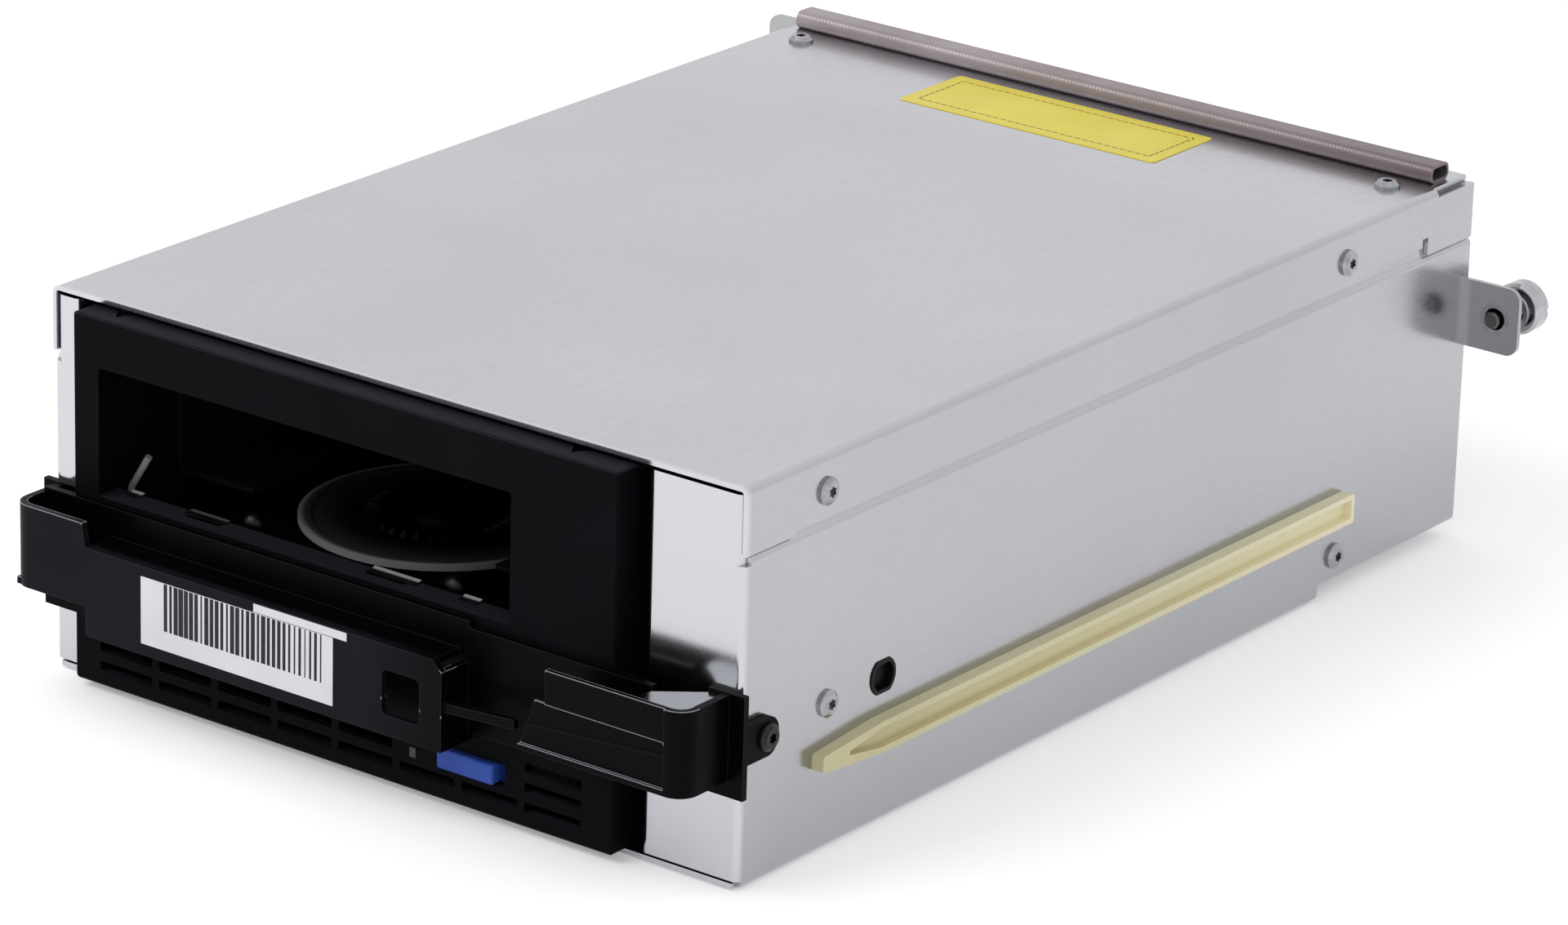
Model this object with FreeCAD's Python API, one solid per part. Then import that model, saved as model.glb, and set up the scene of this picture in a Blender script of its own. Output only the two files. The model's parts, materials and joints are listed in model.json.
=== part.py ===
"""Tape drive in a sheet-metal library sled, with its cartridge guide, transport and rear panel.

Millimetres, +Z up, +X to the right seen from the front, front towards -Y.
The origin is the middle of the sled's underside.
"""
import FreeCAD, Part
import math
import os
from FreeCAD import Vector

# ---- Sled: the bent sheet-metal carrier ----
left_margin = 10.7
right_margin = 28.3
connector_room = 64.0
headroom = 2.9
sheet = 1.2
cover_sheet = 1.0
bend_radius = 1.7
lap_depth = 14.7
cover_gap = 0.1
rear_step_length = 57.0
rear_step_height = 3.0
lip_depth = 9.0
bezel_clearance = 3.0
pad_radius = 7.0
flange_depth = 12.3
tab_depth = 14.6
front_tab_length = 16.0
rear_tab_length = 18.5
relief_width = 2.2
relief_rise = 2.0
cover_end_notch = 15.0
floor_slot_size = (8.0, 3.0)
floor_slot_first = (17.8, 82.0)
floor_slot_pitch = (14.0, 18.0)
floor_slot_counts = (9, 3)

# ---- Side features of the sled ----
oval_hole = (47.6, 32.5, 8.6, 7.4)
ear_relief = 3.0
ear_notch_gap = 0.1
grommet_wall = 0.9
grommet_lip = 0.7
rail_start = 24.0
rail_tail_inset = 48.0
rail_middle_height = 20.7
rail_height = 7.0
rail_tip_height = 3.6
rail_taper = 20.0
rail_depth = 3.0
rail_rim = 1.3
rail_floor = 1.0
rail_groove_start = 9.0
rail_groove_nose = 1.0

# ---- Ears and captive thumbscrews at the rear ----
ear_reach = 14.6
ear_height = 16.0
ear_radius = 3.0
ear_right_bottom = 46.6
ear_left_drop = 18.2
ear_screw_offset = 8.3
knob_radius = 6.1
knob_length = 5.2
knob_neck_radius = 3.6
knob_neck_length = 1.1
knob_chamfer = 0.7
knob_slot = (1.2, 1.2)
captive_shank_radius = 2.0
shank_chamfer = 0.4
captive_shank_reach = 1.6
ferrule_radius = 3.2
ferrule_face_radius = 3.85
ferrule_flange = (4.6, 0.8)
ferrule_mouth = (2.6, 0.8)
ferrule_length = 2.6
collar_radius = 4.4
collar_thickness = 0.8
running_gap = 0.05
float_travel = 3.0
collar_clearance = 0.3
screw_wire = 0.5
screw_spring_turns = 3
spring_clearance = 0.65

# ---- Screws ----
screw_head_radius = 3.0
screw_head_height = 1.4
screw_shank_radius = 1.4
screw_length = 4.0
screw_gap = 0.1
screw_front = 26.5
screw_rear_inset = 52.0
cover_screw_drop = 7.8
lower_screw_height = 32.4
rear_screw_height = 9.3
top_screw_inset = 10.5
top_screw_rear_inset = 20.4
board_screw_length = 4.0
fan_screw_length = 6.0

# ---- Gasket and label on the cover ----
gasket_width = 8.0
gasket_height = 4.2
gasket_wall = 0.7
gasket_end_gap = 3.5
gasket_from_rear = 9.5
notice_size = (72.0, 24.5)
notice_middle = (-2.0, 30.0)
label_thickness = 0.15

# ---- Drive ----
drive_height = 82.2
drive_bottom = 1.9
drive_wall = 3.0
drive_floor = 2.6
drive_lid_sheet = 1.0
ledge_width = 2.0
deck_height = 30.0
deck_thickness = 2.0
deck_gap = 0.15
deck_corner_radius = 1.5
deck_hole_radius = 2.5
deck_hole_inset = 8.0
deck_hole_behind = 20.0
deck_hole_front = 60.0
foot_inset = (14.0, 28.0)
boss_radius = 3.2
housing_slots = (6, 19.0, 13.0)
housing_slot_heights = (58.0, 62.0)
housing_slot_inset = 20.0
lid_panel_inset = 16.0
lid_panel_front = 60.0
lid_panel_depth = 0.4
lid_panel_radius = 6.0
front_window_inset = 12.0
board_plug_width = 56.0

# ---- Bezel ----
bezel_side_lap = 1.0
bezel_bottom_lap = 0.55
bezel_top_lap = 0.85
bezel_proud = 5.5
bezel_behind = 1.0
bezel_wall = 2.2
bezel_face = 2.4
throat_side_gap = 2.5
throat_sill_drop = 0.8
throat_headroom = 2.7
throat_wall = 1.8
sill_notches = ((-35.0, -25.5), (14.8, 25.6))
sill_notch_depth = 3.2
vent_size = (14.9, 2.2)
vent_pitch = (16.8, 4.4)
vent_first = (7.4, 3.5)
vent_rows = (range(8), (0, 1, 2, 3, 4, 7), (0, 1, 2, 3, 4, 7))
wedge_insets = (9.6, 14.6)
wedge_size = (6.0, 4.5, 1.1)
led_size = (2.0, 2.5)
led_corner = (94.0, 7.25)

# ---- Eject button ----
button_size = (15.0, 4.5)
button_corner = (102.5, 7.65)
button_gap = 0.3
button_proud = 1.5
button_travel = 1.5
button_flange = 1.0
button_stem_radius = 1.6
button_spare = 0.15
button_spring_gap = 0.4
button_side_slot = 2.2
switch_height = 1.5
plunger_height = 0.5
plunger_radius = 1.2
switch_width = 6.0
switch_board_width = 42.0
switch_board_bottom = 6.0
button_wire = 0.4
button_spring_turns = 3
led_gap = 0.15

# ---- Cartridge guide on the sled's front ----
guide_inset = 2.2
guide_depth = 16.0
guide_wall = 1.6
guide_corner = 4.6
arm_bottom = 24.0
arm_top = 42.8
left_arm_length = 20.3
right_arm_length = 43.3
right_arm_slope = (7.2, 4.0)
panel_bottom = 17.4
panel_top = 37.5
panel_reach = 47.4
guide_back_gap = 0.2
guide_back_top_gap = 0.8
guide_back_overhang = 10.8
arm_top_band = 7.5
arm_top_band_depth = 0.4
arm_bottom_band = 1.3
arm_pocket_end_gap = 0.7
arm_pocket_depth = 0.7
arm_recess_depth = 1.1
guide_window = (16.0, 5.8, 4.5, 14.5)
panel_chamfer = 2.4
rib_height = 2.1
rib_depth = 1.6
rib_setback = 0.7
rib_left_rise = 8.8
rib_right_rise = 12.9
guide_flange_width = 5.3
guide_flange_low = 3.4
guide_flange_high = 0.4
guide_ear = (2.4, 10.2, 4.3)
guide_ear_hole = (6.5, 1.1)
guide_label_size = (53.3, 15.2)
guide_label_corner = (17.0, 2.6)
bracket_drop = 1.8
guide_flange = 1.5
guide_ear_out = 1.7

# ---- Tape transport ----
reel_from_front = 41.0
reel_radius = 31.0
reel_top = 42.0
reel_rim = 1.4
reel_tooth_count = 36
reel_tooth_radii = (13.5, 17.5)
reel_tooth_height = 1.3
spindle_radius = 3.0
motor_radius = 22.0
take_up_shift = 3.0
take_up_gap = 53.5
take_up_radius = 31.0
take_up_hub_radius = 21.0
take_up_bottom = 40.8
tape_width = 14.0
flange_thickness = 1.2
roller_radius = 6.0
roller_flange = 7.4
roller_insets = ((35.2, 9.5), (20.2, 19.5), (20.2, 51.5), (35.2, 63.5))
post_radius = 1.5
head_behind_cradle = 35.5
head_gap = 2.6
head_clearance = 0.8
head_travel = 3.0
head_block = (7.0, 21.0, 16.0)
head_nose = (2.9, 12.0, 14.0)
head_bar = (2.2, 10.0, 13.0)
head_rod_spread = 14.0
head_rod_spare = 14.0
actuator_size = (9.8, 16.0, 26.0)
actuator_gap = 14.0
cartridge_width = 108.0
cradle_side_gap = 4.6
transport_room = 25.0
transport_length = 101.5
cradle_end_gap = 1.5
cartridge_height = 25.5
cartridge_depth = 103.0
cradle_sheet = 1.2
cradle_drop = 3.0
cradle_rest = 0.6
cradle_lip = 7.0
cradle_lug = (9.0, 4.5)
cradle_lug_heights = (4.0, 8.0)
cradle_rod_offset = 5.5
cradle_stop = (24.0, 12.0)
cradle_side_slot = (34.5, 12.5)
cradle_rod_top = 75.0
datum_pin_places = (28.0, 12.5)
datum_pin_radius = 3.2
datum_pin_top = 43.7
lever_path = ((1.2, 7.0, 43.0), (5.4, 8.0, 50.5))
lever_wire = 1.6
cradle_front = 18.0
cradle_rod_radius = 2.0
cradle_rod_front = 36.0
cradle_rod_rear_inset = 14.5
cradle_window_gap = 2.5
cradle_window_radius = 6.0

# ---- Boards, fan and connectors ----
board_thickness = 1.6
board_height = 12.0
drive_board_margin = (14.0, 18.5)
interface_board_size = (104.0, 46.0)
interface_left_gap = 7.5
interface_gap = 1.5
board_feet_inset = 5.0
board_chips = ((-34.0, -30.0, 26.0, 2.2), (14.0, -20.0, 20.0, 2.0), (-20.0, 24.0, 18.0, 1.8),
               (22.0, 30.0, 14.0, 4.0))
interface_chip = (20.0, -14.0, 16.0, 2.0)
socket_width = 42.0
socket_inset = 12.8
socket_seat = 8.0
plug_seat = 9.0
plug_height = 6.0
plug_overlap = 2.0
spacer_radius = 3.0
port_wall = 0.7
rear_reach = 1.2
panel_gap = 0.15
rear_hole_radius = 2.4
rear_hole_first = (13.5, 38.0)
rear_hole_pitch = (8.0, 7.0)
rear_hole_counts = (12, 6)
rear_top_flange = 24.0
fan_size = 60.0
fan_depth = 20.0
fan_inset = 39.5
fan_height = 46.0
fan_hub_radius = 13.0
fan_blades = 7
fan_blade_radius = 27.2
fan_bore_radius = 28.4
fan_hole_pitch = 50.0
fan_screw_radius = 1.9
fan_shaft_radius = 2.0
fan_boss_length = 3.0
fan_gap = 0.4
fan_seat = 0.05
fan_strut = (3.2, 2.6)
guard_rings = 4
guard_first_radius = 7.0
guard_leg_inner = 6.0
guard_eye_radius = 3.6
guard_leg_overlap = 0.6
guard_wire = 1.2
port_size = (14.6, 10.2, 34.0)
port_offsets = (-28.0, -6.0)
power_size = (26.0, 12.0, 18.0)
power_offset = 24.0
power_hole = 3.6
power_hole_pitch = (8.0, 5.6)

# ---- Worked out from the sizes above ----
cradle_rear = cartridge_depth + cradle_end_gap
interior_width = cradle_side_gap + cartridge_width + 2 * cradle_sheet + transport_room
drive_width = interior_width + 2 * drive_wall
drive_depth = cradle_rear - bezel_behind + transport_length
drive_top = drive_bottom + drive_height
bezel_width = drive_width + 2 * bezel_side_lap
bezel_bottom = drive_bottom - bezel_bottom_lap
bezel_top = drive_top + bezel_top_lap
sled_width = left_margin + bezel_width + right_margin
sled_depth = bezel_behind + drive_depth + connector_room
sled_height = drive_top + headroom
drive_offset = (left_margin - right_margin) / 2
half_width = sled_width / 2
front = -sled_depth / 2
rear = sled_depth / 2
cover_screw_height = sled_height - cover_screw_drop
ear_left_bottom = sled_height - ear_left_drop
lap_height = sled_height - lap_depth
lap_inset = cover_sheet + cover_gap
cover_underside = sled_height - cover_sheet - cover_gap
wall_top = sled_height - bend_radius - cover_gap
lap_face = half_width - lap_inset
drive_left = drive_offset - drive_width / 2
drive_right = drive_offset + drive_width / 2
drive_front = front + bezel_behind
drive_rear = drive_front + drive_depth
bezel_left = drive_offset - bezel_width / 2
bezel_right = drive_offset + bezel_width / 2
bezel_front = front - bezel_proud
bezel_back = front + bezel_behind
deck_top = deck_height + deck_thickness
cradle_floor_top = reel_top + cradle_rest + cradle_drop
throat_bottom = cradle_floor_top - throat_sill_drop
throat_top = cradle_floor_top + cartridge_height + throat_headroom
guide_back_top = throat_bottom - guide_back_top_gap
head_middle = take_up_bottom + flange_thickness + tape_width / 2
guide_front = front - guide_depth
guide_back = bezel_front - guide_back_gap
ear_right_middle = ear_right_bottom + ear_height / 2
ear_left_middle = ear_left_bottom + ear_height / 2
rear_floor = rear_step_height + sheet
interior_left = drive_left + drive_wall
interior_right = drive_right - drive_wall
cartridge_left = interior_left + cradle_side_gap + cradle_sheet
cartridge_right = cartridge_left + cartridge_width
reel_x = cartridge_left + cartridge_width / 2
throat_left = cartridge_left - throat_side_gap
throat_right = cartridge_right + throat_side_gap
take_up_x = reel_x - take_up_shift
take_up_from_front = cradle_rear + take_up_gap
head_from_front = cradle_rear + head_behind_cradle
roller_positions = [(interior_right - inset, cradle_rear + behind) for inset, behind in roller_insets]
cradle_rod_places = (cradle_rod_front, cradle_rear - cradle_rod_rear_inset)
drive_board_size = (drive_width - 2 * drive_board_margin[0], drive_depth - 2 * drive_board_margin[1])
interface_x = -half_width + interface_left_gap + interface_board_size[0] / 2
port_places = [interface_x + offset for offset in port_offsets]
power_place = interface_x + power_offset
fan_middle = (half_width - fan_inset, fan_height)
guide_half_width = half_width - guide_inset
left_arm_end = -guide_half_width + left_arm_length
right_arm_start = guide_half_width - right_arm_length
panel_left = left_arm_end + 1
panel_right = reel_x + panel_reach
guide_flange_inner = guide_half_width - guide_flange_width
guide_back_right = bezel_right + guide_back_overhang
guide_ear_middle = (arm_bottom + arm_top) / 2
bracket_height = arm_top - bracket_drop
switch_face = drive_front + drive_wall + 0.05
plunger_tip = switch_face - switch_height - plunger_height
X_AXIS = Vector(1, 0, 0)
Y_AXIS = Vector(0, 1, 0)
Z_AXIS = Vector(0, 0, 1)


# ---- Shape helpers ----
def box(x0, x1, y0, y1, z0, z1):
    """A block between two values on each axis."""
    return Part.makeBox(x1 - x0, y1 - y0, z1 - z0, Vector(x0, y0, z0))


def rod(x, y, z, radius, length, axis=Z_AXIS):
    """A cylinder that starts at the point and runs along the axis."""
    return Part.makeCylinder(radius, length, Vector(x, y, z), axis)


def ring(x, y, z, outer, inner, length, axis=Z_AXIS):
    """A tube that starts at the point and runs along the axis."""
    return rod(x, y, z, outer, length, axis).cut(rod(x, y, z, inner, length, axis))


def rounded_wire(points, radius, closed):
    """A wire through the points, its corners replaced by arcs of the radius."""
    count = len(points)
    corners = range(count) if closed else range(1, count - 1)
    enters = {}
    leaves = {}
    middles = {}
    for index in corners:
        corner = points[index]
        before = (points[index - 1] - corner).normalize()
        after = (points[(index + 1) % count] - corner).normalize()
        half = before.getAngle(after) / 2
        enters[index] = corner + before * (radius / math.tan(half))
        leaves[index] = corner + after * (radius / math.tan(half))
        inward = (before + after).normalize()
        middles[index] = corner + inward * (radius / math.sin(half) - radius)
    edges = []
    for index in range(count if closed else count - 1):
        following = (index + 1) % count
        start = leaves.get(index, points[index])
        end = enters.get(following, points[following])
        if start.distanceToPoint(end) > 1e-4:
            edges.append(Part.makeLine(start, end))
        if following in middles:
            arc = Part.Arc(enters[following], middles[following], leaves[following])
            edges.append(arc.toShape())
    return Part.Wire(Part.__sortEdges__(edges))


def bent_sheet(points, radius, thickness, extrusion):
    """Sheet metal whose outer face follows the points, bent at the radius."""
    section = rounded_wire(points, radius, False).makeOffset2D(thickness, fill=True, openResult=True)
    return section.extrude(extrusion)


def plate(points, radius, extrusion):
    """A flat plate with rounded corners."""
    return Part.Face(rounded_wire(points, radius, True)).extrude(extrusion)


def rectangle_xz(x0, x1, z0, z1, y):
    """Corners of an upright rectangle that faces the front."""
    return [Vector(x0, y, z0), Vector(x1, y, z0), Vector(x1, y, z1), Vector(x0, y, z1)]


def rectangle_xy(x0, x1, y0, y1, z):
    """Corners of a level rectangle."""
    return [Vector(x0, y0, z), Vector(x1, y0, z), Vector(x1, y1, z), Vector(x0, y1, z)]


def rectangle_yz(y0, y1, z0, z1, x):
    """Corners of an upright rectangle that faces the side."""
    return [Vector(x, y0, z0), Vector(x, y1, z0), Vector(x, y1, z1), Vector(x, y0, z1)]


def polygon_prism(points, extrusion):
    """A prism with sharp corners over the points."""
    return Part.Face(Part.makePolygon(points + points[:1])).extrude(extrusion)


def mirrored(shape):
    """The same shape on the other side of the sled."""
    return shape.mirror(Vector(0, 0, 0), X_AXIS)


def joined(shapes):
    """One solid fused from all the shapes."""
    return shapes[0].multiFuse(shapes[1:]).removeSplitter()


def without(shape, tools):
    """The shape with every tool cut out of it."""
    return shape.cut(Part.makeCompound(tools)) if len(tools) > 1 else shape.cut(tools[0])


def from_front(distance):
    """The Y place at a distance behind the sled's front."""
    return front + distance


def save(name, *solids):
    """Write one named piece, or one group of identical pieces."""
    shape = solids[0] if len(solids) == 1 else Part.makeCompound(list(solids))
    shape.exportStep("parts/" + name + ".step")


def lobed_recess(radius, depth):
    """A six-lobed driver recess that opens at the origin and runs down along -Z."""
    points = []
    for index in range(12):
        angle = math.radians(30 * index)
        reach = radius if index % 2 == 0 else radius * 0.68
        points.append(Vector(reach * math.cos(angle), reach * math.sin(angle), 0))
    return polygon_prism(points, Vector(0, 0, -depth))


def pan_screw(length):
    """A pan-head screw whose head rests on the plane Z = 0, with its shank below it."""
    crown = screw_head_height * 0.45
    profile = [Vector(0, 0, -length), Vector(screw_shank_radius, 0, -length),
               Vector(screw_shank_radius, 0, 0), Vector(screw_head_radius, 0, 0),
               Vector(screw_head_radius, 0, crown), Vector(screw_head_radius * 0.7, 0, screw_head_height),
               Vector(0, 0, screw_head_height)]
    body = Part.Face(Part.makePolygon(profile + profile[:1])).revolve(Vector(0, 0, 0), Z_AXIS, 360)
    recess = lobed_recess(screw_head_radius * 0.45, screw_head_height * 0.75)
    recess.translate(Vector(0, 0, screw_head_height))
    return body.cut(recess)


def placed(shape, position, outward):
    """A copy of a shape made along +Z, turned so that +Z points outward, at a position."""
    copy = shape.copy()
    copy.Placement = FreeCAD.Placement(position, FreeCAD.Rotation(Z_AXIS, outward)).multiply(copy.Placement)
    return copy


# ---- Where the screws sit ----
def side_screw_places():
    """Position and outward direction of each screw on the cover's flanges."""
    places = []
    for side in (-1, 1):
        for distance in (screw_front, sled_depth - screw_rear_inset):
            position = Vector(side * half_width, from_front(distance), cover_screw_height)
            places.append((position, Vector(side, 0, 0)))
    return places


def top_screw_places():
    """Position and outward direction of the screws through the cover's top at the rear."""
    inset = half_width - top_screw_inset
    return [(Vector(side * inset, rear - top_screw_rear_inset, sled_height), Z_AXIS) for side in (-1, 1)]


def lower_screw_places():
    """Position and outward direction of each screw low on the sled's walls."""
    places = []
    for side in (-1, 1):
        rear_screw = sled_depth - screw_rear_inset + 1
        for distance, height in ((screw_front + 2, lower_screw_height), (rear_screw, rear_screw_height)):
            places.append((Vector(side * half_width, from_front(distance), height), Vector(side, 0, 0)))
    return places


def guide_screw_places():
    """Position and outward direction of the screws through the guide's ears."""
    y, drop = guide_ear_hole
    x = half_width + guide_ear_out
    return [(Vector(side * x, from_front(y), guide_ear_middle - drop), Vector(side, 0, 0))
            for side in (-1, 1)]


def screw_holes(places, depth):
    """Clearance holes for screws, cut to a depth below the face the heads rest on."""
    radius = screw_shank_radius + screw_gap
    return [Part.makeCylinder(radius, depth + 1, position + outward, outward * -1)
            for position, outward in places]


def drive_feet():
    """Centres of the four screws that hold the drive down."""
    inset_x, inset_y = foot_inset
    return [(x, y) for x in (drive_left + inset_x, drive_right - inset_x)
            for y in (drive_front + inset_y, drive_rear - inset_y)]


# ---- Sled ----
def oval(y, z, width, height, x0, x1):
    """A round-ended hole with flats above and below, through the side walls."""
    disc = rod(x0, y, z, width / 2, x1 - x0, X_AXIS)
    return disc.common(box(x0, x1, y - width, y + width, z - height / 2, z + height / 2))


def channel(y0, y1, bottom):
    """A length of the U-shaped chassis, stepped inwards where the cover laps it."""
    side = [(half_width, bottom), (half_width, lap_height - lap_inset), (lap_face, lap_height),
            (lap_face, wall_top)]
    points = [Vector(-x, y0, z) for x, z in reversed(side)] + [Vector(x, y0, z) for x, z in side]
    return bent_sheet(points, bend_radius, sheet, Vector(0, y1 - y0, 0))


def front_flange(side, corner_x, z0, z1):
    """One front flange, bent in from the wall and rolled back beside the bezel."""
    bezel_edge = bezel_right if side > 0 else bezel_left
    inner = bezel_edge + side * bezel_clearance
    points = [Vector(side * corner_x, front + lip_depth, z0), Vector(side * corner_x, front, z0),
              Vector(inner, front, z0), Vector(inner, front + lip_depth, z0)]
    return bent_sheet(points, bend_radius, side * sheet, Vector(0, 0, z1 - z0))


def ear(side, bottom, root_face):
    """One rear ear, bent outwards, with the hole for its captive screw."""
    tip = root_face + ear_reach
    points = [Vector(side * (root_face - sheet), rear, bottom), Vector(side * tip, rear, bottom),
              Vector(side * tip, rear, bottom + ear_height),
              Vector(side * (root_face - sheet), rear, bottom + ear_height)]
    blank = plate(points, ear_radius, Vector(0, -sheet, 0))
    root = box(min(side * (root_face - sheet), side * (root_face + ear_radius)),
               max(side * (root_face - sheet), side * (root_face + ear_radius)),
               rear - sheet, rear, bottom, bottom + ear_height)
    x = side * (half_width + ear_screw_offset)
    hole = rod(x, rear - sheet - 1, bottom + ear_height / 2, ferrule_face_radius, sheet + 2, Y_AXIS)
    return blank.fuse(root).cut(hole)


def chassis_tray():
    """The U-shaped tray with its flanges, pads, ears and holes."""
    step_at = rear - rear_step_length
    pieces = [channel(front + bend_radius, step_at, 0), channel(step_at - sheet, rear, rear_step_height)]
    pieces.append(box(-half_width + bend_radius, half_width - bend_radius, front, front + bend_radius, 0,
                      sheet))
    pieces.append(box(-half_width + bend_radius, half_width - bend_radius, step_at - sheet, step_at,
                      0, rear_floor))
    for side in (-1, 1):
        pieces.append(front_flange(side, half_width, bend_radius, lap_height - lap_inset * 2))
        pieces.append(front_flange(side, lap_face, lap_height - lap_inset * 2, wall_top))
    pieces.append(ear(1, ear_right_bottom, half_width))
    pieces.append(ear(-1, ear_left_bottom, lap_face))
    for x, y in drive_feet():
        pieces.append(rod(x, y, 0, pad_radius, drive_bottom))
    tray = joined(pieces)
    y, z, width, height = oval_hole
    cuts = [oval(from_front(y), z, width, height, -half_width - 1, half_width + 1)]
    cuts += screw_holes(side_screw_places(), screw_length + 1)
    cuts += screw_holes(lower_screw_places(), screw_length)
    cuts += screw_holes(guide_screw_places(), screw_length + guide_ear_out)
    for x, y in drive_feet():
        cuts.append(rod(x, y, -1, screw_shank_radius + screw_gap, drive_bottom + 2))
        cuts.append(Part.makeCone(screw_head_radius + screw_gap, screw_shank_radius + screw_gap,
                                  screw_head_height, Vector(x, y, 0), Z_AXIS))
    columns, rows = floor_slot_counts
    length, width = floor_slot_size
    for row in range(rows):
        for column in range(columns):
            x0 = drive_left + floor_slot_first[0] + column * floor_slot_pitch[0]
            y0 = from_front(floor_slot_first[1] + row * floor_slot_pitch[1])
            cuts.append(plate(rectangle_xy(x0, x0 + length, y0, y0 + width, -1), 1.2,
                              Vector(0, 0, sheet + 2)))
    for x, y in interface_feet():
        cuts.append(rod(x, y, 0, screw_shank_radius + screw_gap, rear_floor + 1))
    return without(tray, cuts)


def top_cover():
    """The lid that laps the tray's walls, with deeper tabs at its ends."""
    tab_bottom = sled_height - tab_depth
    points = [Vector(-half_width, front, tab_bottom), Vector(-half_width, front, sled_height),
              Vector(half_width, front, sled_height), Vector(half_width, front, tab_bottom)]
    blank = bent_sheet(points, bend_radius, -cover_sheet, Vector(0, sled_depth, 0))
    long_bottom = sled_height - flange_depth
    tab_start = rear - rear_tab_length
    cuts = []
    for side in (-1, 1):
        low, high = sorted((side * (half_width - bend_radius), side * (half_width + 1)))
        cuts.append(box(low, high, front + front_tab_length, tab_start, tab_bottom - 1, long_bottom))
        cuts.append(box(low, high, tab_start - relief_width, tab_start, tab_bottom - 1,
                        long_bottom + relief_rise))
        cuts.append(box(low, high, rear - cover_end_notch, rear + 1, sled_height - bend_radius,
                        sled_height + 1))
    cuts.append(box(-half_width - 1, -lap_face + 1, rear - sheet - ear_relief, rear + 1,
                    tab_bottom - 1, ear_left_bottom + ear_height + ear_notch_gap))
    cuts.append(box(-half_width - 1, half_width + 1, rear - 1.0, rear + 1, cover_underside, sled_height + 1))
    cuts += screw_holes(side_screw_places(), cover_sheet + 1)
    cuts += screw_holes(top_screw_places(), cover_sheet + 1)
    return without(blank, cuts)


def side_rail(side):
    """A plastic slide rail: a shallow open channel with a tapered nose."""
    x0 = half_width
    nose = from_front(rail_start)
    tail = rear - rail_tail_inset
    full = nose + rail_taper
    half_tip = rail_tip_height / 2
    half_full = rail_height / 2
    outline = [(nose, -half_tip), (full, -half_full), (tail, -half_full),
               (tail, half_full), (full, half_full), (nose, half_tip)]
    points = [Vector(x0, y, rail_middle_height + z) for y, z in outline]
    body = plate(points, 0.8, Vector(rail_depth, 0, 0))
    inner = half_full - rail_rim
    half_nose = rail_groove_nose / 2
    groove = [(nose + rail_groove_start, -half_nose), (full, -inner), (tail - rail_rim, -inner),
              (tail - rail_rim, inner), (full, inner), (nose + rail_groove_start, half_nose)]
    hollow = plate([Vector(x0 + rail_floor, y, rail_middle_height + z) for y, z in groove], 0.4,
                   Vector(rail_depth, 0, 0))
    rail = body.cut(hollow)
    return rail if side > 0 else mirrored(rail)


def side_grommet():
    """The black cup that lines the oval hole in a side wall."""
    y, z, width, height = oval_hole
    y = from_front(y)
    inside = half_width - sheet - grommet_lip
    shell = oval(y, z, width - screw_gap, height - screw_gap, half_width - sheet,
                 half_width + grommet_lip * 0.4)
    lip = oval(y, z, width + 2 * grommet_lip, height + 2 * grommet_lip, inside, half_width - sheet)
    bore = oval(y, z, width - 2 * grommet_wall, height - 2 * grommet_wall, inside + 0.5, half_width + 2)
    return shell.fuse(lip).cut(bore)


def emi_gasket():
    """The hollow flattened-D strip that lies along the cover's rear edge."""
    y0 = rear - gasket_from_rear
    half = gasket_width / 2
    x0 = -half_width + gasket_end_gap

    def section(width, height, base):
        points = [Vector(x0, y0 - width / 2, base), Vector(x0, y0 + width / 2, base),
                  Vector(x0, y0 + width / 2 * 0.86, base + height),
                  Vector(x0, y0 - width / 2 * 0.86, base + height)]
        return plate(points, height * 0.42, Vector(-2 * x0, 0, 0))

    outer = section(2 * half, gasket_height, sled_height)
    inner = section(2 * (half - gasket_wall), gasket_height - 2 * gasket_wall, sled_height + gasket_wall)
    return outer.cut(inner)


def notice_label():
    """The bare adhesive label on the cover."""
    width, depth = notice_size
    x = notice_middle[0]
    y = rear - notice_middle[1]
    corners = rectangle_xy(x - width / 2, x + width / 2, y - depth / 2, y + depth / 2, sled_height)
    return plate(corners, 1.2, Vector(0, 0, label_thickness))


# ---- Captive thumbscrews ----
def ear_screw_axis(side):
    """X and Z of the axis of one captive screw."""
    x = side * (half_width + ear_screw_offset)
    return (x, ear_right_middle) if side > 0 else (x, ear_left_middle)


def ferrule(side):
    """The flanged sleeve pressed into an ear, which guides the captive screw."""
    x, z = ear_screw_axis(side)
    face = rear - sheet
    flange_radius, flange_length = ferrule_flange
    sleeve = rod(x, face, z, ferrule_face_radius, sheet, Y_AXIS)
    flange = rod(x, rear, z, flange_radius, flange_length, Y_AXIS)
    barrel = rod(x, rear, z, ferrule_radius, ferrule_length, Y_AXIS)
    bore = rod(x, face - 1, z, captive_shank_radius + running_gap, ferrule_length + sheet + 2, Y_AXIS)
    mouth_radius, mouth_depth = ferrule_mouth
    mouth = Part.makeCone(mouth_radius, captive_shank_radius + running_gap, mouth_depth, Vector(x, face, z),
                          Y_AXIS)
    return without(joined([sleeve, flange, barrel]), [bore, mouth])


def screw_collar(side):
    """The washer that floats along the screw's axis and carries the turning screw."""
    x, z = ear_screw_axis(side)
    start = rear + ferrule_length + float_travel + collar_clearance
    return ring(x, start, z, collar_radius, captive_shank_radius + running_gap, collar_thickness, Y_AXIS)


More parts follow.
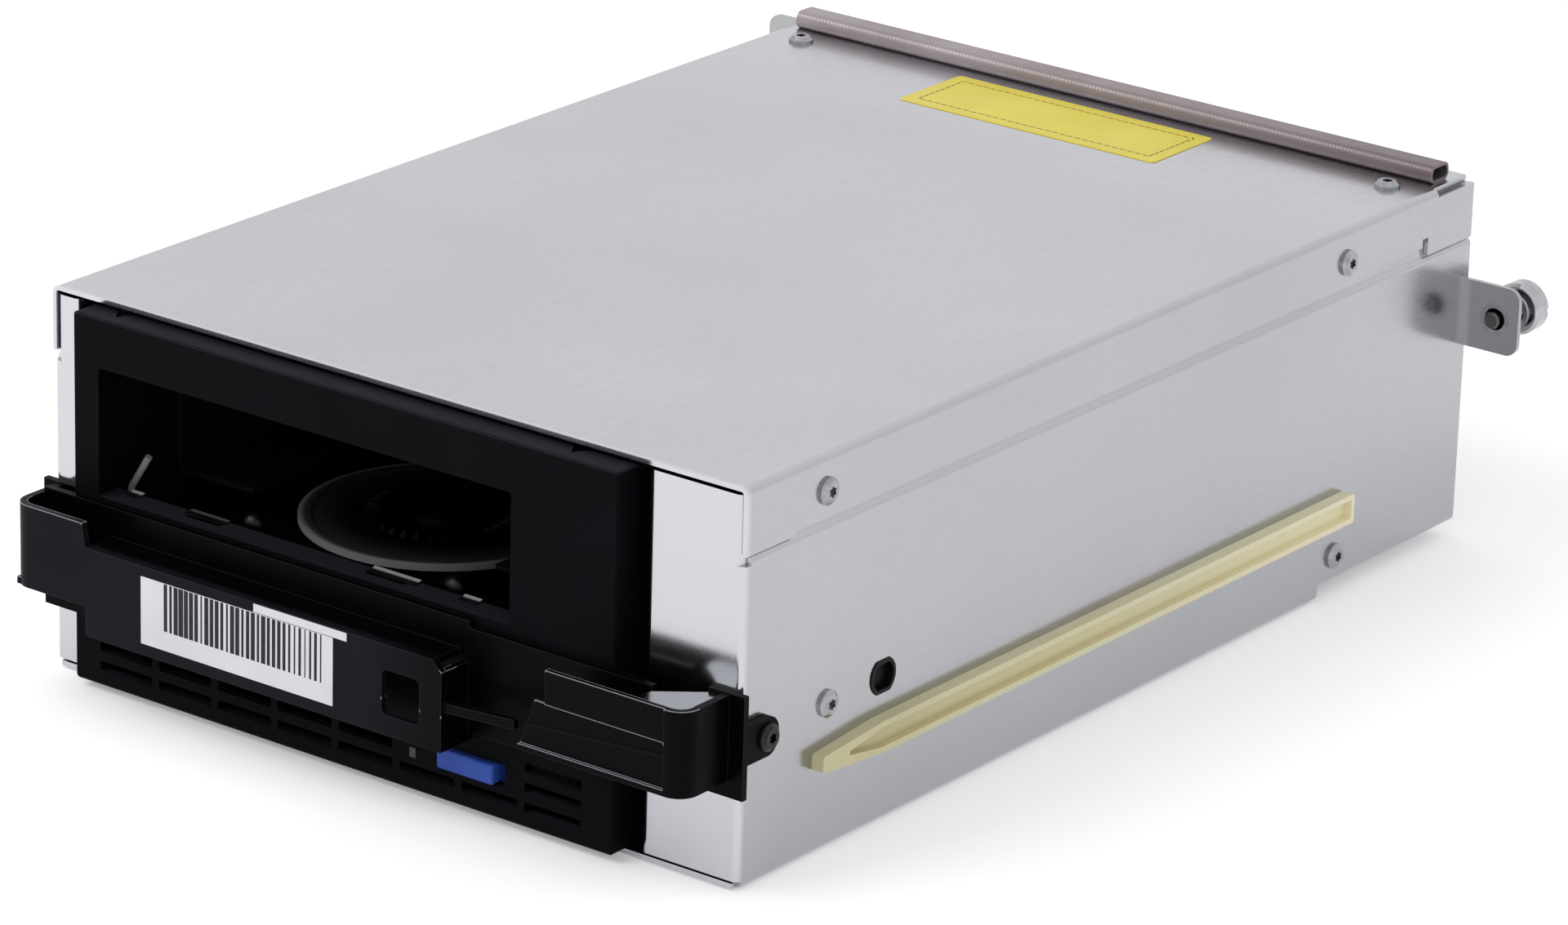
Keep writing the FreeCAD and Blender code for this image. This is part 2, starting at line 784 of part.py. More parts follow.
def thumbscrew(side):
    """The knob with its neck and shank, which runs through the collar and the ferrule."""
    x, z = ear_screw_axis(side)
    start = rear + ferrule_length + float_travel + collar_clearance + collar_thickness + running_gap
    tip = rear - sheet - captive_shank_reach
    knob_start = start + knob_neck_length
    knob_end = knob_start + knob_length
    profile = [(0, tip), (captive_shank_radius - shank_chamfer, tip),
               (captive_shank_radius, tip + shank_chamfer),
               (captive_shank_radius, start), (knob_neck_radius, start), (knob_neck_radius, knob_start),
               (knob_radius - knob_chamfer, knob_start), (knob_radius, knob_start + knob_chamfer),
               (knob_radius, knob_end - knob_chamfer), (knob_radius - knob_chamfer, knob_end), (0, knob_end)]
    points = [Vector(x + radius, y, z) for radius, y in profile]
    screw = Part.Face(Part.makePolygon(points + points[:1])).revolve(Vector(x, 0, z), Y_AXIS, 360)
    width, depth = knob_slot
    return screw.cut(box(x - knob_radius - 1, x + knob_radius + 1, knob_end - depth, knob_end + 1,
                         z - width / 2, z + width / 2))


def screw_spring(side):
    """The spring that holds a captive screw back, between its ferrule and its collar."""
    x, z = ear_screw_axis(side)
    start = rear + ferrule_length + screw_wire / 2
    pitch = (float_travel + collar_clearance - screw_wire) / screw_spring_turns
    radius = captive_shank_radius + spring_clearance + screw_wire / 2
    return coil(x, start, z, radius, screw_wire, pitch, screw_spring_turns)


# ---- Bezel and button ----
def vent_slots(y0, y1):
    """The rows of slots low on the bezel."""
    slots = []
    width, height = vent_size
    for row, columns in enumerate(vent_rows):
        for column in columns:
            x0 = bezel_left + vent_first[0] + column * vent_pitch[0]
            z0 = bezel_bottom + vent_first[1] + row * vent_pitch[1]
            slots.append(plate(rectangle_xz(x0, x0 + width, z0, z0 + height, y0), 0.5, Vector(0, y1 - y0, 0)))
    return slots


def led_place():
    """X and Z of the light pipe's lower left corner."""
    return (bezel_left + led_corner[0], bezel_bottom + led_corner[1])


def button_place():
    """X and Z of the button's lower left corner."""
    return (bezel_left + button_corner[0], bezel_bottom + button_corner[1])


def drive_bezel():
    """The moulded front of the drive, a shell with the cartridge throat through it."""
    front_corners = rectangle_xz(bezel_left, bezel_right, bezel_bottom, bezel_top, bezel_front)
    body = plate(front_corners, 0.9, Vector(0, bezel_back - bezel_front, 0))
    rim = [edge for edge in body.Edges
           if edge.BoundBox.YMax < bezel_front + 0.01]
    body = body.makeChamfer(0.5, rim)
    inner = box(bezel_left + bezel_wall, bezel_right - bezel_wall, bezel_front + bezel_face, bezel_back + 1,
                bezel_bottom + bezel_wall, bezel_top - bezel_wall)
    collar = box(throat_left - throat_wall, throat_right + throat_wall, bezel_front + bezel_face, bezel_back,
                 throat_bottom - throat_wall, throat_top + throat_wall)
    shell = joined([body.cut(inner), collar])
    throat = plate(rectangle_xz(throat_left, throat_right, throat_bottom, throat_top, bezel_front - 1), 0.8,
                   Vector(0, bezel_back - bezel_front + 2, 0))
    cuts = [throat] + vent_slots(bezel_front - 1, bezel_front + bezel_face + 1)
    for left, right in sill_notches:
        cuts.append(box(reel_x + left, reel_x + right, bezel_back - sill_notch_depth, bezel_back + 1,
                        throat_bottom - throat_wall - 1, throat_bottom + 1))
    x, z = led_place()
    cuts.append(box(x, x + led_size[0], bezel_front - 1, bezel_front + bezel_face + 1, z, z + led_size[1]))
    x, z = button_place()
    cuts.append(box(x - button_gap, x + button_size[0] + button_side_slot, bezel_front - 1,
                    bezel_front + bezel_face + 1, z - button_gap, z + button_size[1] + button_gap))
    width, length, depth = wedge_size
    low = bezel_top - depth
    for x in (bezel_left + wedge_insets[0], bezel_right - wedge_insets[1]):
        cuts.append(polygon_prism([Vector(x - width / 2, bezel_back + 1, low),
                                   Vector(x + width / 2, bezel_back + 1, low),
                                   Vector(x, bezel_back + 1 - length, low)], Vector(0, 0, depth + 1)))
    return without(shell, cuts)


def led_lens():
    """The light pipe beside the button."""
    x, z = led_place()
    return box(x + led_gap, x + led_size[0] - led_gap, bezel_front - 0.1, switch_face, z + led_gap,
               z + led_size[1] - led_gap)


def eject_button():
    """The push button: a cap, a flange behind the bezel's face and a stem to the switch."""
    x, z = button_place()
    width, height = button_size
    cap_front = bezel_front - button_proud
    inside = bezel_front + bezel_face
    cap = plate(rectangle_xz(x, x + width, z, z + height, cap_front), 0.5,
                Vector(0, inside - cap_front + 0.5, 0))
    cap = cap.makeChamfer(0.35, [edge for edge in cap.Edges if edge.BoundBox.YMax < cap_front + 0.01])
    flange = box(x - button_flange, x + width + button_flange, inside + 0.1, inside + button_flange + 0.1,
                 z - button_flange, z + height + button_flange)
    stem_end = plunger_tip - button_travel - button_spare
    stem = rod(x + width / 2, inside, z + height / 2, button_stem_radius, stem_end - inside, Y_AXIS)
    return joined([cap, flange, stem])


def coil(x, y, z, radius, wire, pitch, turns):
    """A helical spring along +Y that starts at the point."""
    steps = 12
    points = []
    for index in range(turns * steps + 1):
        angle = 2 * math.pi * index / steps
        points.append(Vector(radius * math.cos(angle), radius * math.sin(angle), pitch * index / steps))
    line = Part.BSplineCurve()
    line.interpolate(points)
    start = line.tangent(line.FirstParameter)[0]
    profile = Part.Wire(Part.makeCircle(wire / 2, points[0], start))
    spring = Part.Wire(line.toShape()).makePipeShell([profile], True, True)
    return placed(spring, Vector(x, y, z), Y_AXIS)


def button_spring():
    """The return spring around the button's stem."""
    x, z = button_place()
    start = bezel_front + bezel_face + button_flange + 0.1 + button_wire / 2
    end = switch_face - switch_height - button_wire / 2
    radius = button_stem_radius + button_spring_gap + button_wire / 2
    return coil(x + button_size[0] / 2, start, z + button_size[1] / 2, radius, button_wire,
                (end - start) / button_spring_turns, button_spring_turns)


def switch_board():
    """The small upright circuit board behind the button, with its switch."""
    x, z = button_place()
    middle_x = x + button_size[0] / 2
    middle_z = z + button_size[1] / 2
    half_board = switch_board_width / 2
    half = switch_width / 2
    board = box(middle_x - half_board, middle_x + half_board, switch_face, switch_face + board_thickness,
                switch_board_bottom, deck_height - 1)
    body = box(middle_x - half, middle_x + half, switch_face - switch_height, switch_face, middle_z - half,
               middle_z + half)
    plunger = rod(middle_x, plunger_tip, middle_z, plunger_radius, switch_face - plunger_tip, Y_AXIS)
    return joined([board, body, plunger])


# ---- Cartridge guide ----
def guide_corner_block(side, inner_x):
    """The face and side of one end of the guide, with a rounded corner between them."""
    outer = side * guide_half_width
    points = [Vector(inner_x, guide_front, arm_bottom), Vector(outer, guide_front, arm_bottom),
              Vector(outer, front, arm_bottom)]
    return bent_sheet(points, guide_corner, -side * guide_wall, Vector(0, 0, arm_top - arm_bottom))


def rib_heights(x):
    """Lowest and highest Z of the rib that climbs from the panel to the right arm."""
    run = guide_half_width - guide_corner - panel_right
    low = panel_bottom + rib_left_rise + (rib_right_rise - rib_left_rise) * (x - panel_right) / run
    return (low, low + rib_height)


def right_arm_cuts():
    """The bands moulded into the right arm's face, and its sloping inner end."""
    x0 = right_arm_start - 1
    x1 = guide_half_width - guide_corner - arm_pocket_end_gap
    top_band = arm_top - arm_top_band
    bottom_band = arm_bottom + arm_bottom_band
    slope_bottom, slope_top = right_arm_slope
    upper = box(x0, x1, guide_front - 1, guide_front + arm_top_band_depth, top_band, arm_top + 1)
    lower = box(x0, x1, guide_front - 1, guide_front + arm_pocket_depth, bottom_band, top_band)
    recess = polygon_prism([Vector(x0, guide_front - 1, rib_heights(x0)[1]),
                            Vector(x1, guide_front - 1, rib_heights(x1)[1]),
                            Vector(x1, guide_front - 1, top_band), Vector(x0, guide_front - 1, top_band)],
                           Vector(0, 1 + arm_recess_depth, 0))
    end = polygon_prism([Vector(x0, guide_front - 1, arm_bottom - 1),
                         Vector(right_arm_start, guide_front - 1, arm_bottom - 1),
                         Vector(right_arm_start + slope_top, guide_front - 1, top_band),
                         Vector(right_arm_start + slope_bottom, guide_front - 1, top_band),
                         Vector(right_arm_start + slope_bottom, guide_front - 1, arm_top + 1),
                         Vector(x0, guide_front - 1, arm_top + 1)], Vector(0, guide_wall + 2, 0))
    return [upper, lower, recess, end]


def guide_panel():
    """The panel in front of the bezel, with its top ledge and right-hand side."""
    chamfer_x = panel_right - panel_chamfer
    chamfer_z = panel_top - panel_chamfer
    face = polygon_prism([Vector(panel_left, guide_front, panel_bottom),
                          Vector(panel_right, guide_front, panel_bottom),
                          Vector(panel_right, guide_front, chamfer_z),
                          Vector(chamfer_x, guide_front, panel_top),
                          Vector(panel_left, guide_front, panel_top)], Vector(0, guide_wall, 0))
    ledge = box(panel_left, chamfer_x, guide_front, guide_back, panel_top - guide_wall, panel_top)
    end = box(panel_right - guide_wall, panel_right, guide_front, guide_back, panel_bottom, chamfer_z)
    return [face, ledge, end]


def guide_flange_pieces(side):
    """The flange that bears on the sled's front, and the ear round the side wall."""
    x_in, x_out = sorted((side * guide_flange_inner, side * (half_width + guide_ear_out)))
    bearing = box(x_in, x_out, front - guide_flange, front - 0.05, arm_bottom - guide_flange_low,
                  arm_top + guide_flange_high)
    x_in, x_out = sorted((side * (half_width + 0.2), side * (half_width + guide_ear_out)))
    start, end, half = guide_ear
    low = guide_ear_middle - guide_ear_hole[1] - half
    high = guide_ear_middle - guide_ear_hole[1] + half
    tab = plate(rectangle_yz(front - guide_flange, from_front(end), low, high, x_in), half * 0.84,
                Vector(x_out - x_in, 0, 0))
    return [bearing, tab, box(x_in, x_out, front - guide_flange, from_front(start), low, high)]


def cartridge_guide():
    """The black moulding on the sled's front that leads a cartridge into the throat."""
    pieces = [guide_corner_block(-1, left_arm_end), guide_corner_block(1, right_arm_start)] + guide_panel()
    pieces.append(box(-guide_half_width + guide_wall, panel_right, guide_back - guide_wall, guide_back,
                      panel_bottom, guide_back_top))
    pieces.append(box(panel_right, guide_back_right, guide_back - guide_wall, guide_back,
                      panel_bottom + 2, guide_back_top - 1.5))
    # the left block's inner end slopes down to the panel, and its floor closes it below
    pieces.append(polygon_prism([Vector(left_arm_end - guide_wall, guide_front, arm_bottom),
                                 Vector(panel_left, guide_front, arm_bottom),
                                 Vector(panel_left, guide_front, panel_top),
                                 Vector(left_arm_end, guide_front, arm_top),
                                 Vector(left_arm_end - guide_wall, guide_front, arm_top)],
                                Vector(0, guide_wall, 0)))
    pieces.append(box(-guide_half_width + guide_wall / 2, panel_left, guide_front + guide_wall / 2,
                      guide_back,
                      arm_bottom, arm_bottom + guide_wall))
    # rib from the panel to the right arm's corner
    rib_front = guide_front + rib_setback
    rib_start = panel_right - guide_wall / 2
    rib_end = guide_half_width - guide_corner
    pieces.append(polygon_prism([Vector(rib_start, rib_front, rib_heights(rib_start)[0]),
                                 Vector(rib_start, rib_front, rib_heights(rib_start)[1]),
                                 Vector(rib_end, rib_front, rib_heights(rib_end)[1]),
                                 Vector(rib_end, rib_front, rib_heights(rib_end)[0])],
                                Vector(0, rib_depth, 0)))
    # floor under the right arm, which carries it to the back plate
    pieces.append(box(right_arm_start, guide_back_right, guide_front + guide_wall / 2, guide_back,
                      arm_bottom, arm_bottom + guide_wall))
    for side in (-1, 1):
        pieces += guide_flange_pieces(side)
    guide = joined(pieces)
    left, right, low, high = guide_window
    cuts = [plate(rectangle_xz(panel_right - left, panel_right - right, panel_bottom + low,
                               panel_bottom + high,
                               guide_front - 1), 1.4, Vector(0, guide_wall + 2, 0))]
    cuts += right_arm_cuts()
    cuts += screw_holes(guide_screw_places(), half_width)
    return without(guide, cuts)


def guide_label():
    """The label on the guide's front panel."""
    x = left_arm_end + guide_label_corner[0]
    z = panel_bottom + guide_label_corner[1]
    width, height = guide_label_size
    return box(x, x + width, guide_front - label_thickness, guide_front, z, z + height)


def corner_bracket():
    """The sheet-metal shelf inside the right arm's corner, with a leg down the guide's flange."""
    side_face = guide_half_width - guide_wall - 0.3
    back = front - guide_flange - 0.1
    outline = [(side_face, back), (side_face - 2.9, back), (side_face - 12.0, front - 9.0),
               (side_face - 12.8, front - 11.6), (side_face - 11.4, front - 13.6),
               (side_face - 3.0, front - 14.1), (side_face, front - 11.2)]
    shelf = polygon_prism([Vector(x, y, bracket_height) for x, y in outline], Vector(0, 0, sheet))
    leg = box(side_face - 2.9, side_face, back - sheet, back, bracket_height - 11, bracket_height)
    return shelf.fuse(leg).removeSplitter()


# ---- Drive housing ----
def drive_base():
    """The cast tub of the drive, with ledges for the deck and bosses for the board."""
    outer = box(drive_left, drive_right, drive_front, drive_rear, drive_bottom, drive_top - drive_lid_sheet)
    outer = outer.makeFillet(1.2, [edge for edge in outer.Edges if abs(edge.BoundBox.ZLength) > drive_height / 2])
    lower = box(interior_left + ledge_width, interior_right - ledge_width, drive_front + drive_wall,
                drive_rear - drive_wall - ledge_width, drive_bottom + drive_floor, deck_height)
    upper = box(interior_left, interior_right, drive_front - 1, drive_rear - drive_wall, deck_height,
                drive_top)
    tub = outer.cut(lower).cut(upper)
    for x, y in board_bosses():
        boss = rod(x, y, drive_bottom, boss_radius, board_height - drive_bottom)
        tub = tub.fuse(boss)
    cuts = [rod(x, y, drive_bottom - 1, screw_shank_radius + screw_gap / 2, drive_floor + 2)
            for x, y in drive_feet()]
    cuts.append(box(drive_left + front_window_inset, drive_right - front_window_inset, drive_front - 1,
                    drive_front + drive_wall + 1,
                    drive_bottom + 4, deck_height - 3))
    half_plug = board_plug_width / 2 + 2
    cuts.append(box(drive_offset - half_plug, drive_offset + half_plug,
                    drive_rear - drive_wall - ledge_width - 1,
                    drive_rear + 1, board_height - 1, board_height + 9))
    count, pitch, length = housing_slots
    low, high = housing_slot_heights
    for index in range(count):
        x0 = drive_left + housing_slot_inset + index * pitch
        cuts.append(plate(rectangle_xz(x0, x0 + length, low, high, drive_rear - drive_wall - 1), 1.5,
                          Vector(0, drive_wall + 2, 0)))
    return without(tub, cuts).removeSplitter()


def board_bosses():
    """Centres of the bosses that carry the drive's circuit board."""
    half_x = drive_board_size[0] / 2 - board_feet_inset
    half_y = drive_board_size[1] / 2 - board_feet_inset
    middle_y = drive_front + drive_depth / 2
    return [(drive_offset + sx * half_x, middle_y + sy * half_y) for sx in (-1, 1) for sy in (-1, 1)]


def drive_lid():
    """The drive's sheet cover, with a shallow pressed panel."""
    lid = plate(rectangle_xy(drive_left, drive_right, drive_front, drive_rear, drive_top - drive_lid_sheet),
                1.2,
                Vector(0, 0, drive_lid_sheet))
    inset = lid_panel_inset
    press = plate(rectangle_xy(drive_left + inset, drive_right - inset, drive_front + lid_panel_front,
                               drive_rear - inset, drive_top - lid_panel_depth), lid_panel_radius,
                  Vector(0, 0, 1))
    return lid.cut(press)


def deck_plate():
    """The deck that carries the tape transport."""
    outline = rectangle_xy(interior_left + deck_gap, interior_right - deck_gap, drive_front + drive_wall,
                           drive_rear - drive_wall - deck_gap, deck_height)
    deck = plate(outline, deck_corner_radius, Vector(0, 0, deck_thickness))
    cuts = []
    for x, y in ((interior_left + deck_hole_inset, drive_rear - deck_hole_behind),
                 (interior_right - deck_hole_inset, drive_rear - deck_hole_behind),
                 (interior_right - deck_hole_inset, drive_front + deck_hole_front)):
        cuts.append(rod(x, y, deck_height - 1, deck_hole_radius, deck_thickness + 2))
    return without(deck, cuts)


# ---- Tape transport ----
def spindle_motor(x, y, top):
    """A flat direct-drive motor with a bore for the spindle."""
    body = rod(x, y, deck_top, motor_radius, top - deck_top)
    step = rod(x, y, deck_top, motor_radius + 3, 2.0)
    return body.fuse(step).cut(rod(x, y, deck_top, spindle_radius + running_gap, top))


def reel_motor():
    """The motor under the cartridge's reel."""
    return spindle_motor(reel_x, from_front(reel_from_front), reel_top - reel_rim - 1.2)


def reel_hub():
    """The drive disc whose face teeth engage the cartridge's reel."""
    x = reel_x
    y = from_front(reel_from_front)
    inner, outer = reel_tooth_radii
    profile = [(0, deck_top + 0.5), (spindle_radius, deck_top + 0.5),
               (spindle_radius, reel_top - reel_rim - 0.8),
               (8, reel_top - reel_rim - 0.8), (10, reel_top - reel_rim), (reel_radius, reel_top - reel_rim),
               (reel_radius, reel_top), (reel_radius - 2.5, reel_top), (reel_radius - 3.5, reel_top - 0.5),
               (outer + 2.5, reel_top - 0.5), (outer + 1.5, reel_top), (inner - 2.0, reel_top),
               (inner - 3.0, reel_top - 0.6), (7, reel_top - 0.6), (6, reel_top + 0.8), (3.4, reel_top + 1.2),
               (0, reel_top + 1.2)]
    points = [Vector(radius, 0, z) for radius, z in profile]
    disc = Part.Face(Part.makePolygon(points + points[:1])).revolve(Vector(0, 0, 0), Z_AXIS, 360)
    disc.translate(Vector(x, y, 0))
    teeth = []
    half = math.pi / reel_tooth_count * 0.55
    for index in range(reel_tooth_count):
        angle = 2 * math.pi * index / reel_tooth_count
        base = [Vector(x + inner * math.cos(angle - half), y + inner * math.sin(angle - half), 0),
                Vector(x + outer * math.cos(angle - half), y + outer * math.sin(angle - half), 0),
                Vector(x + outer * math.cos(angle + half), y + outer * math.sin(angle + half), 0),
                Vector(x + inner * math.cos(angle + half), y + inner * math.sin(angle + half), 0)]
        foot = Part.makePolygon([point + Vector(0, 0, reel_top - 0.1) for point in base + base[:1]])
        middle = sum(base, Vector(0, 0, 0)) * 0.25
        crest = [middle + (point - middle).scale(0.9, 0.9, 1) for point in base]
        crown = [Vector((point.x + middle.x * 1.2) / 2.2, (point.y + middle.y * 1.2) / 2.2, 0)
                 for point in crest]
        head = Part.makePolygon([point + Vector(0, 0, reel_top + reel_tooth_height)
                                 for point in crown + crown[:1]])
        teeth.append(Part.makeLoft([foot, head], True))
    return joined([disc] + teeth)


def take_up_motor():
    """The motor under the take-up reel."""
    return spindle_motor(take_up_x, from_front(take_up_from_front), take_up_bottom - 1.2)


def take_up_reel():
    """The flanged reel that winds the tape inside the drive."""
    x = take_up_x
    y = from_front(take_up_from_front)
    bottom = take_up_bottom
    top = bottom + 2 * flange_thickness + tape_width
    profile = [(0, deck_top + 0.5), (spindle_radius, deck_top + 0.5), (spindle_radius, bottom),
               (take_up_radius, bottom), (take_up_radius, bottom + flange_thickness * 0.6),
               (take_up_hub_radius, bottom + flange_thickness), (take_up_hub_radius, top - flange_thickness),
               (take_up_radius, top - flange_thickness * 0.6), (take_up_radius, top),
               (take_up_hub_radius - 3, top), (take_up_hub_radius - 4, top - 3), (8, top - 3), (7, top - 1),
               (0, top - 1)]
    points = [Vector(radius, 0, z) for radius, z in profile]
    reel = Part.Face(Part.makePolygon(points + points[:1])).revolve(Vector(0, 0, 0), Z_AXIS, 360)
    reel.translate(Vector(x, y, 0))
    slot = plate(rectangle_xy(x + take_up_hub_radius - 7, x + take_up_hub_radius + 1, y - 4, y + 4,
                              bottom + flange_thickness), 1.5, Vector(0, 0, tape_width))
    holes = []
    for index in range(6):
        angle = math.radians(60 * index)
        holes.append(rod(x + 13 * math.cos(angle), y + 13 * math.sin(angle), top - 6, 2.4, 8))
    return without(reel, holes + [slot])


def roller_post(index):
    """The fixed pin that one tape roller turns on."""
    x, distance = roller_positions[index]
    y = from_front(distance)
    foot = rod(x, y, deck_top, 4.0, take_up_bottom - deck_top - 1.0)
    return foot.fuse(rod(x, y, deck_top, post_radius, take_up_bottom + tape_width + 6 - deck_top))


def tape_roller(index):
    """One flanged roller that steers the tape."""
    x, distance = roller_positions[index]
    bottom = take_up_bottom - 0.5
    top = bottom + tape_width + 3.4
    bore = post_radius + running_gap
    profile = [(bore, bottom), (roller_flange, bottom), (roller_flange, bottom + 0.9),
               (roller_radius, bottom + 1.5), (roller_radius, top - 1.5), (roller_flange, top - 0.9),
               (roller_flange, top), (bore, top)]
    points = [Vector(radius, 0, z) for radius, z in profile]
    roller = Part.Face(Part.makePolygon(points + points[:1])).revolve(Vector(0, 0, 0), Z_AXIS, 360)
    roller.translate(Vector(x, from_front(distance), 0))
    return roller


def head_x():
    """X of the face that the tape runs over."""
    return roller_positions[1][0] + roller_radius + head_clearance


def head_rod_places():
    """Centres of the two rods that the head slides on."""
    middle_x = head_x() + head_gap + head_nose[0] + head_block[0] / 2
    half = head_rod_spread / 2
    return [(middle_x, from_front(head_from_front) + offset) for offset in (-half, half)]


def head_rods():
    """The two guide rods of the head."""
    top = head_middle + head_block[2] / 2 + head_travel + head_rod_spare
    return [rod(x, y, deck_top, post_radius, top - deck_top) for x, y in head_rod_places()]


def head_carriage():
    """The block that carries the head up and down its rods."""
    x = head_x()
    y = from_front(head_from_front)
    reach, width, height = head_nose
    back = x + head_gap + reach
    nose = box(x + head_gap, back, y - width / 2, y + width / 2, head_middle - height / 2,
               head_middle + height / 2)
    reach, width, height = head_block
    block = box(back, back + reach, y - width / 2, y + width / 2, head_middle - height / 2,
                head_middle + height / 2)
    bores = [rod(px, py, head_middle - height, post_radius + running_gap, 2 * height)
             for px, py in head_rod_places()]
    return without(block.fuse(nose), bores)


def tape_head():
    """The read and write head, a bar with a crowned face."""
    x = head_x()
    y = from_front(head_from_front)
    depth, width, height = head_bar
    back = x + head_gap
    crown = back - depth
    shoulder = crown + depth * 0.27
    half = width / 2
    low = head_middle - height / 2
    points = [Vector(back, y - half, low), Vector(back, y + half, low),
              Vector(shoulder, y + half * 0.8, low), Vector(crown, y + half * 0.3, low),
              Vector(crown, y - half * 0.3, low), Vector(shoulder, y - half * 0.8, low)]
    return polygon_prism(points, Vector(0, 0, height))


def head_actuator():
    """The voice-coil housing behind the head, fixed to the deck."""
    width, depth, height = actuator_size
    x = head_x() + 2.2
    y = from_front(head_from_front) + actuator_gap
    body = box(x, x + width, y, y + depth, deck_top, deck_top + height)
    return body.cut(rod(x + width / 2, y + depth / 2, deck_top + height - 6, width * 0.4, 8))


def cradle_rods():
    """The upright rods that the cartridge cradle slides on."""
    x = cartridge_right + cradle_sheet + cradle_rod_offset
    return [rod(x, from_front(y), deck_top, cradle_rod_radius, cradle_rod_top - deck_top)
            for y in cradle_rod_places]


def cartridge_cradle():
    """The tray that takes the cartridge and lowers it onto the reel disc."""
    y_start = from_front(cradle_front)
    y1 = from_front(cradle_rear)
    left = cartridge_left
    right = cartridge_right
    top = cradle_floor_top + cartridge_height
    points = [Vector(left + cradle_lip, y_start, top), Vector(left - cradle_sheet, y_start, top),
              Vector(left - cradle_sheet, y_start, cradle_floor_top - cradle_sheet),
              Vector(right + cradle_sheet, y_start, cradle_floor_top - cradle_sheet),
              Vector(right + cradle_sheet, y_start, top), Vector(right - cradle_lip, y_start, top)]
    tray = bent_sheet(points, bend_radius, cradle_sheet, Vector(0, y1 - y_start, 0))
    inset, height = cradle_stop
    stop = box(left + inset, right - inset, y1 - cradle_sheet, y1, cradle_floor_top - cradle_sheet / 2,
               cradle_floor_top + height)
    lugs = []
    x = right + cradle_sheet + cradle_rod_offset
    width, reach = cradle_lug
    low_lug, high_lug = cradle_lug_heights
    for distance in cradle_rod_places:
        y0 = from_front(distance) - width / 2
        for z0, z1 in ((top - 4 - high_lug, top - 4), (cradle_floor_top, cradle_floor_top + low_lug)):
            lugs.append(box(right + cradle_sheet / 3, x + reach, y0, y0 + width, z0, z1))
    tray = joined([tray, stop] + lugs)
    window = reel_radius + cradle_window_gap
    middle = from_front(reel_from_front)
    cuts = [plate(rectangle_xy(reel_x - window, reel_x + window, y_start - cradle_window_radius * 2,
                               middle + window,
                               cradle_floor_top - 10), cradle_window_radius, Vector(0, 0, 12))]
    cuts += [rod(x, from_front(distance), deck_top, cradle_rod_radius + running_gap, drive_height)
             for distance in cradle_rod_places]
    y0, y1 = [from_front(cradle_rear - inset) for inset in cradle_side_slot]
    cuts.append(box(left - 3, left + 3, y0, y1, cradle_floor_top + 3, top - 4))
    return without(tray, cuts)


def datum_pins():
    """The two domed pins that locate a lowered cartridge."""
    pins = []
    offset, distance = datum_pin_places
    y = from_front(distance)
    shoulder = datum_pin_top - datum_pin_radius
    for x in (reel_x - offset, reel_x + offset):
        pin = rod(x, y, deck_top, datum_pin_radius, shoulder - deck_top)
        pins.append(pin.fuse(Part.makeSphere(datum_pin_radius, Vector(x, y, shoulder))))
    return pins


def bay_lever():
    """The bright wire lever beside the throat that senses the cartridge."""
    bend, tip = [Vector(interior_left + x, from_front(distance), z) for x, distance, z in lever_path]
    foot = Vector(bend.x, bend.y, deck_top)
    path = Part.Wire([Part.makeLine(foot, bend), Part.makeLine(bend, tip)])
    profile = Part.Wire(Part.makeCircle(lever_wire / 2, foot, Z_AXIS))
    return path.makePipeShell([profile], True, False, 1)


# ---- Boards and rear panel ----
def drive_board():
    """The drive's logic board with its main chips."""
    half_x = drive_board_size[0] / 2
    half_y = drive_board_size[1] / 2
    middle_y = drive_front + drive_depth / 2
    board = box(drive_offset - half_x, drive_offset + half_x, middle_y - half_y, middle_y + half_y,
                board_height, board_height + board_thickness)
    top = board_height + board_thickness
    chips = []
    for x, y, size, tall in board_chips:
        chips.append(box(drive_offset + x, drive_offset + x + size, middle_y + y, middle_y + y + size,
                         top - 0.01, top + tall))
    half_plug = board_plug_width / 2
    plug = box(drive_offset - half_plug, drive_offset + half_plug, middle_y + half_y - plug_seat,
               drive_rear + plug_overlap, top - 0.01, top + plug_height)
    return joined([board] + chips + [plug])


def interface_feet():
    """Centres of the spacers under the interface board."""
    half_x = interface_board_size[0] / 2 - board_feet_inset
    half_y = interface_board_size[1] / 2 - board_feet_inset
    x, y = interface_middle()
    return [(x + sx * half_x, y + sy * half_y) for sx in (-1, 1) for sy in (-1, 1)]


def interface_middle():
    """Centre of the interface board."""
    return (interface_x, rear - sheet - interface_board_size[1] / 2 - interface_gap)


def interface_board():
    """The board behind the drive that carries the rear connectors."""
    x, y = interface_middle()
    half_x = interface_board_size[0] / 2
    half_y = interface_board_size[1] / 2
    board = box(x - half_x, x + half_x, y - half_y, y + half_y, board_height, board_height + board_thickness)
    top = board_height + board_thickness
    socket_right = x + half_x - socket_inset
    socket = box(socket_right - socket_width, socket_right, drive_rear + plug_overlap,
                 y - half_y + socket_seat,
                 top - 0.01, top + plug_height)
    across, along, size, tall = interface_chip
    chip = box(x + across, x + across + size, y + along, y + along + size, top - 0.01, top + tall)
    board = joined([board, socket, chip])
    return without(board, [rod(px, py, board_height - 1, screw_shank_radius + screw_gap, board_thickness + 2)
                           for px, py in interface_feet()])


def board_spacers():
    """The threaded spacers that the interface board stands on."""
    spacers = []
    for x, y in interface_feet():
        spacers.append(ring(x, y, rear_floor, spacer_radius, screw_shank_radius + screw_gap / 2,
                            board_height - rear_floor))
    return spacers


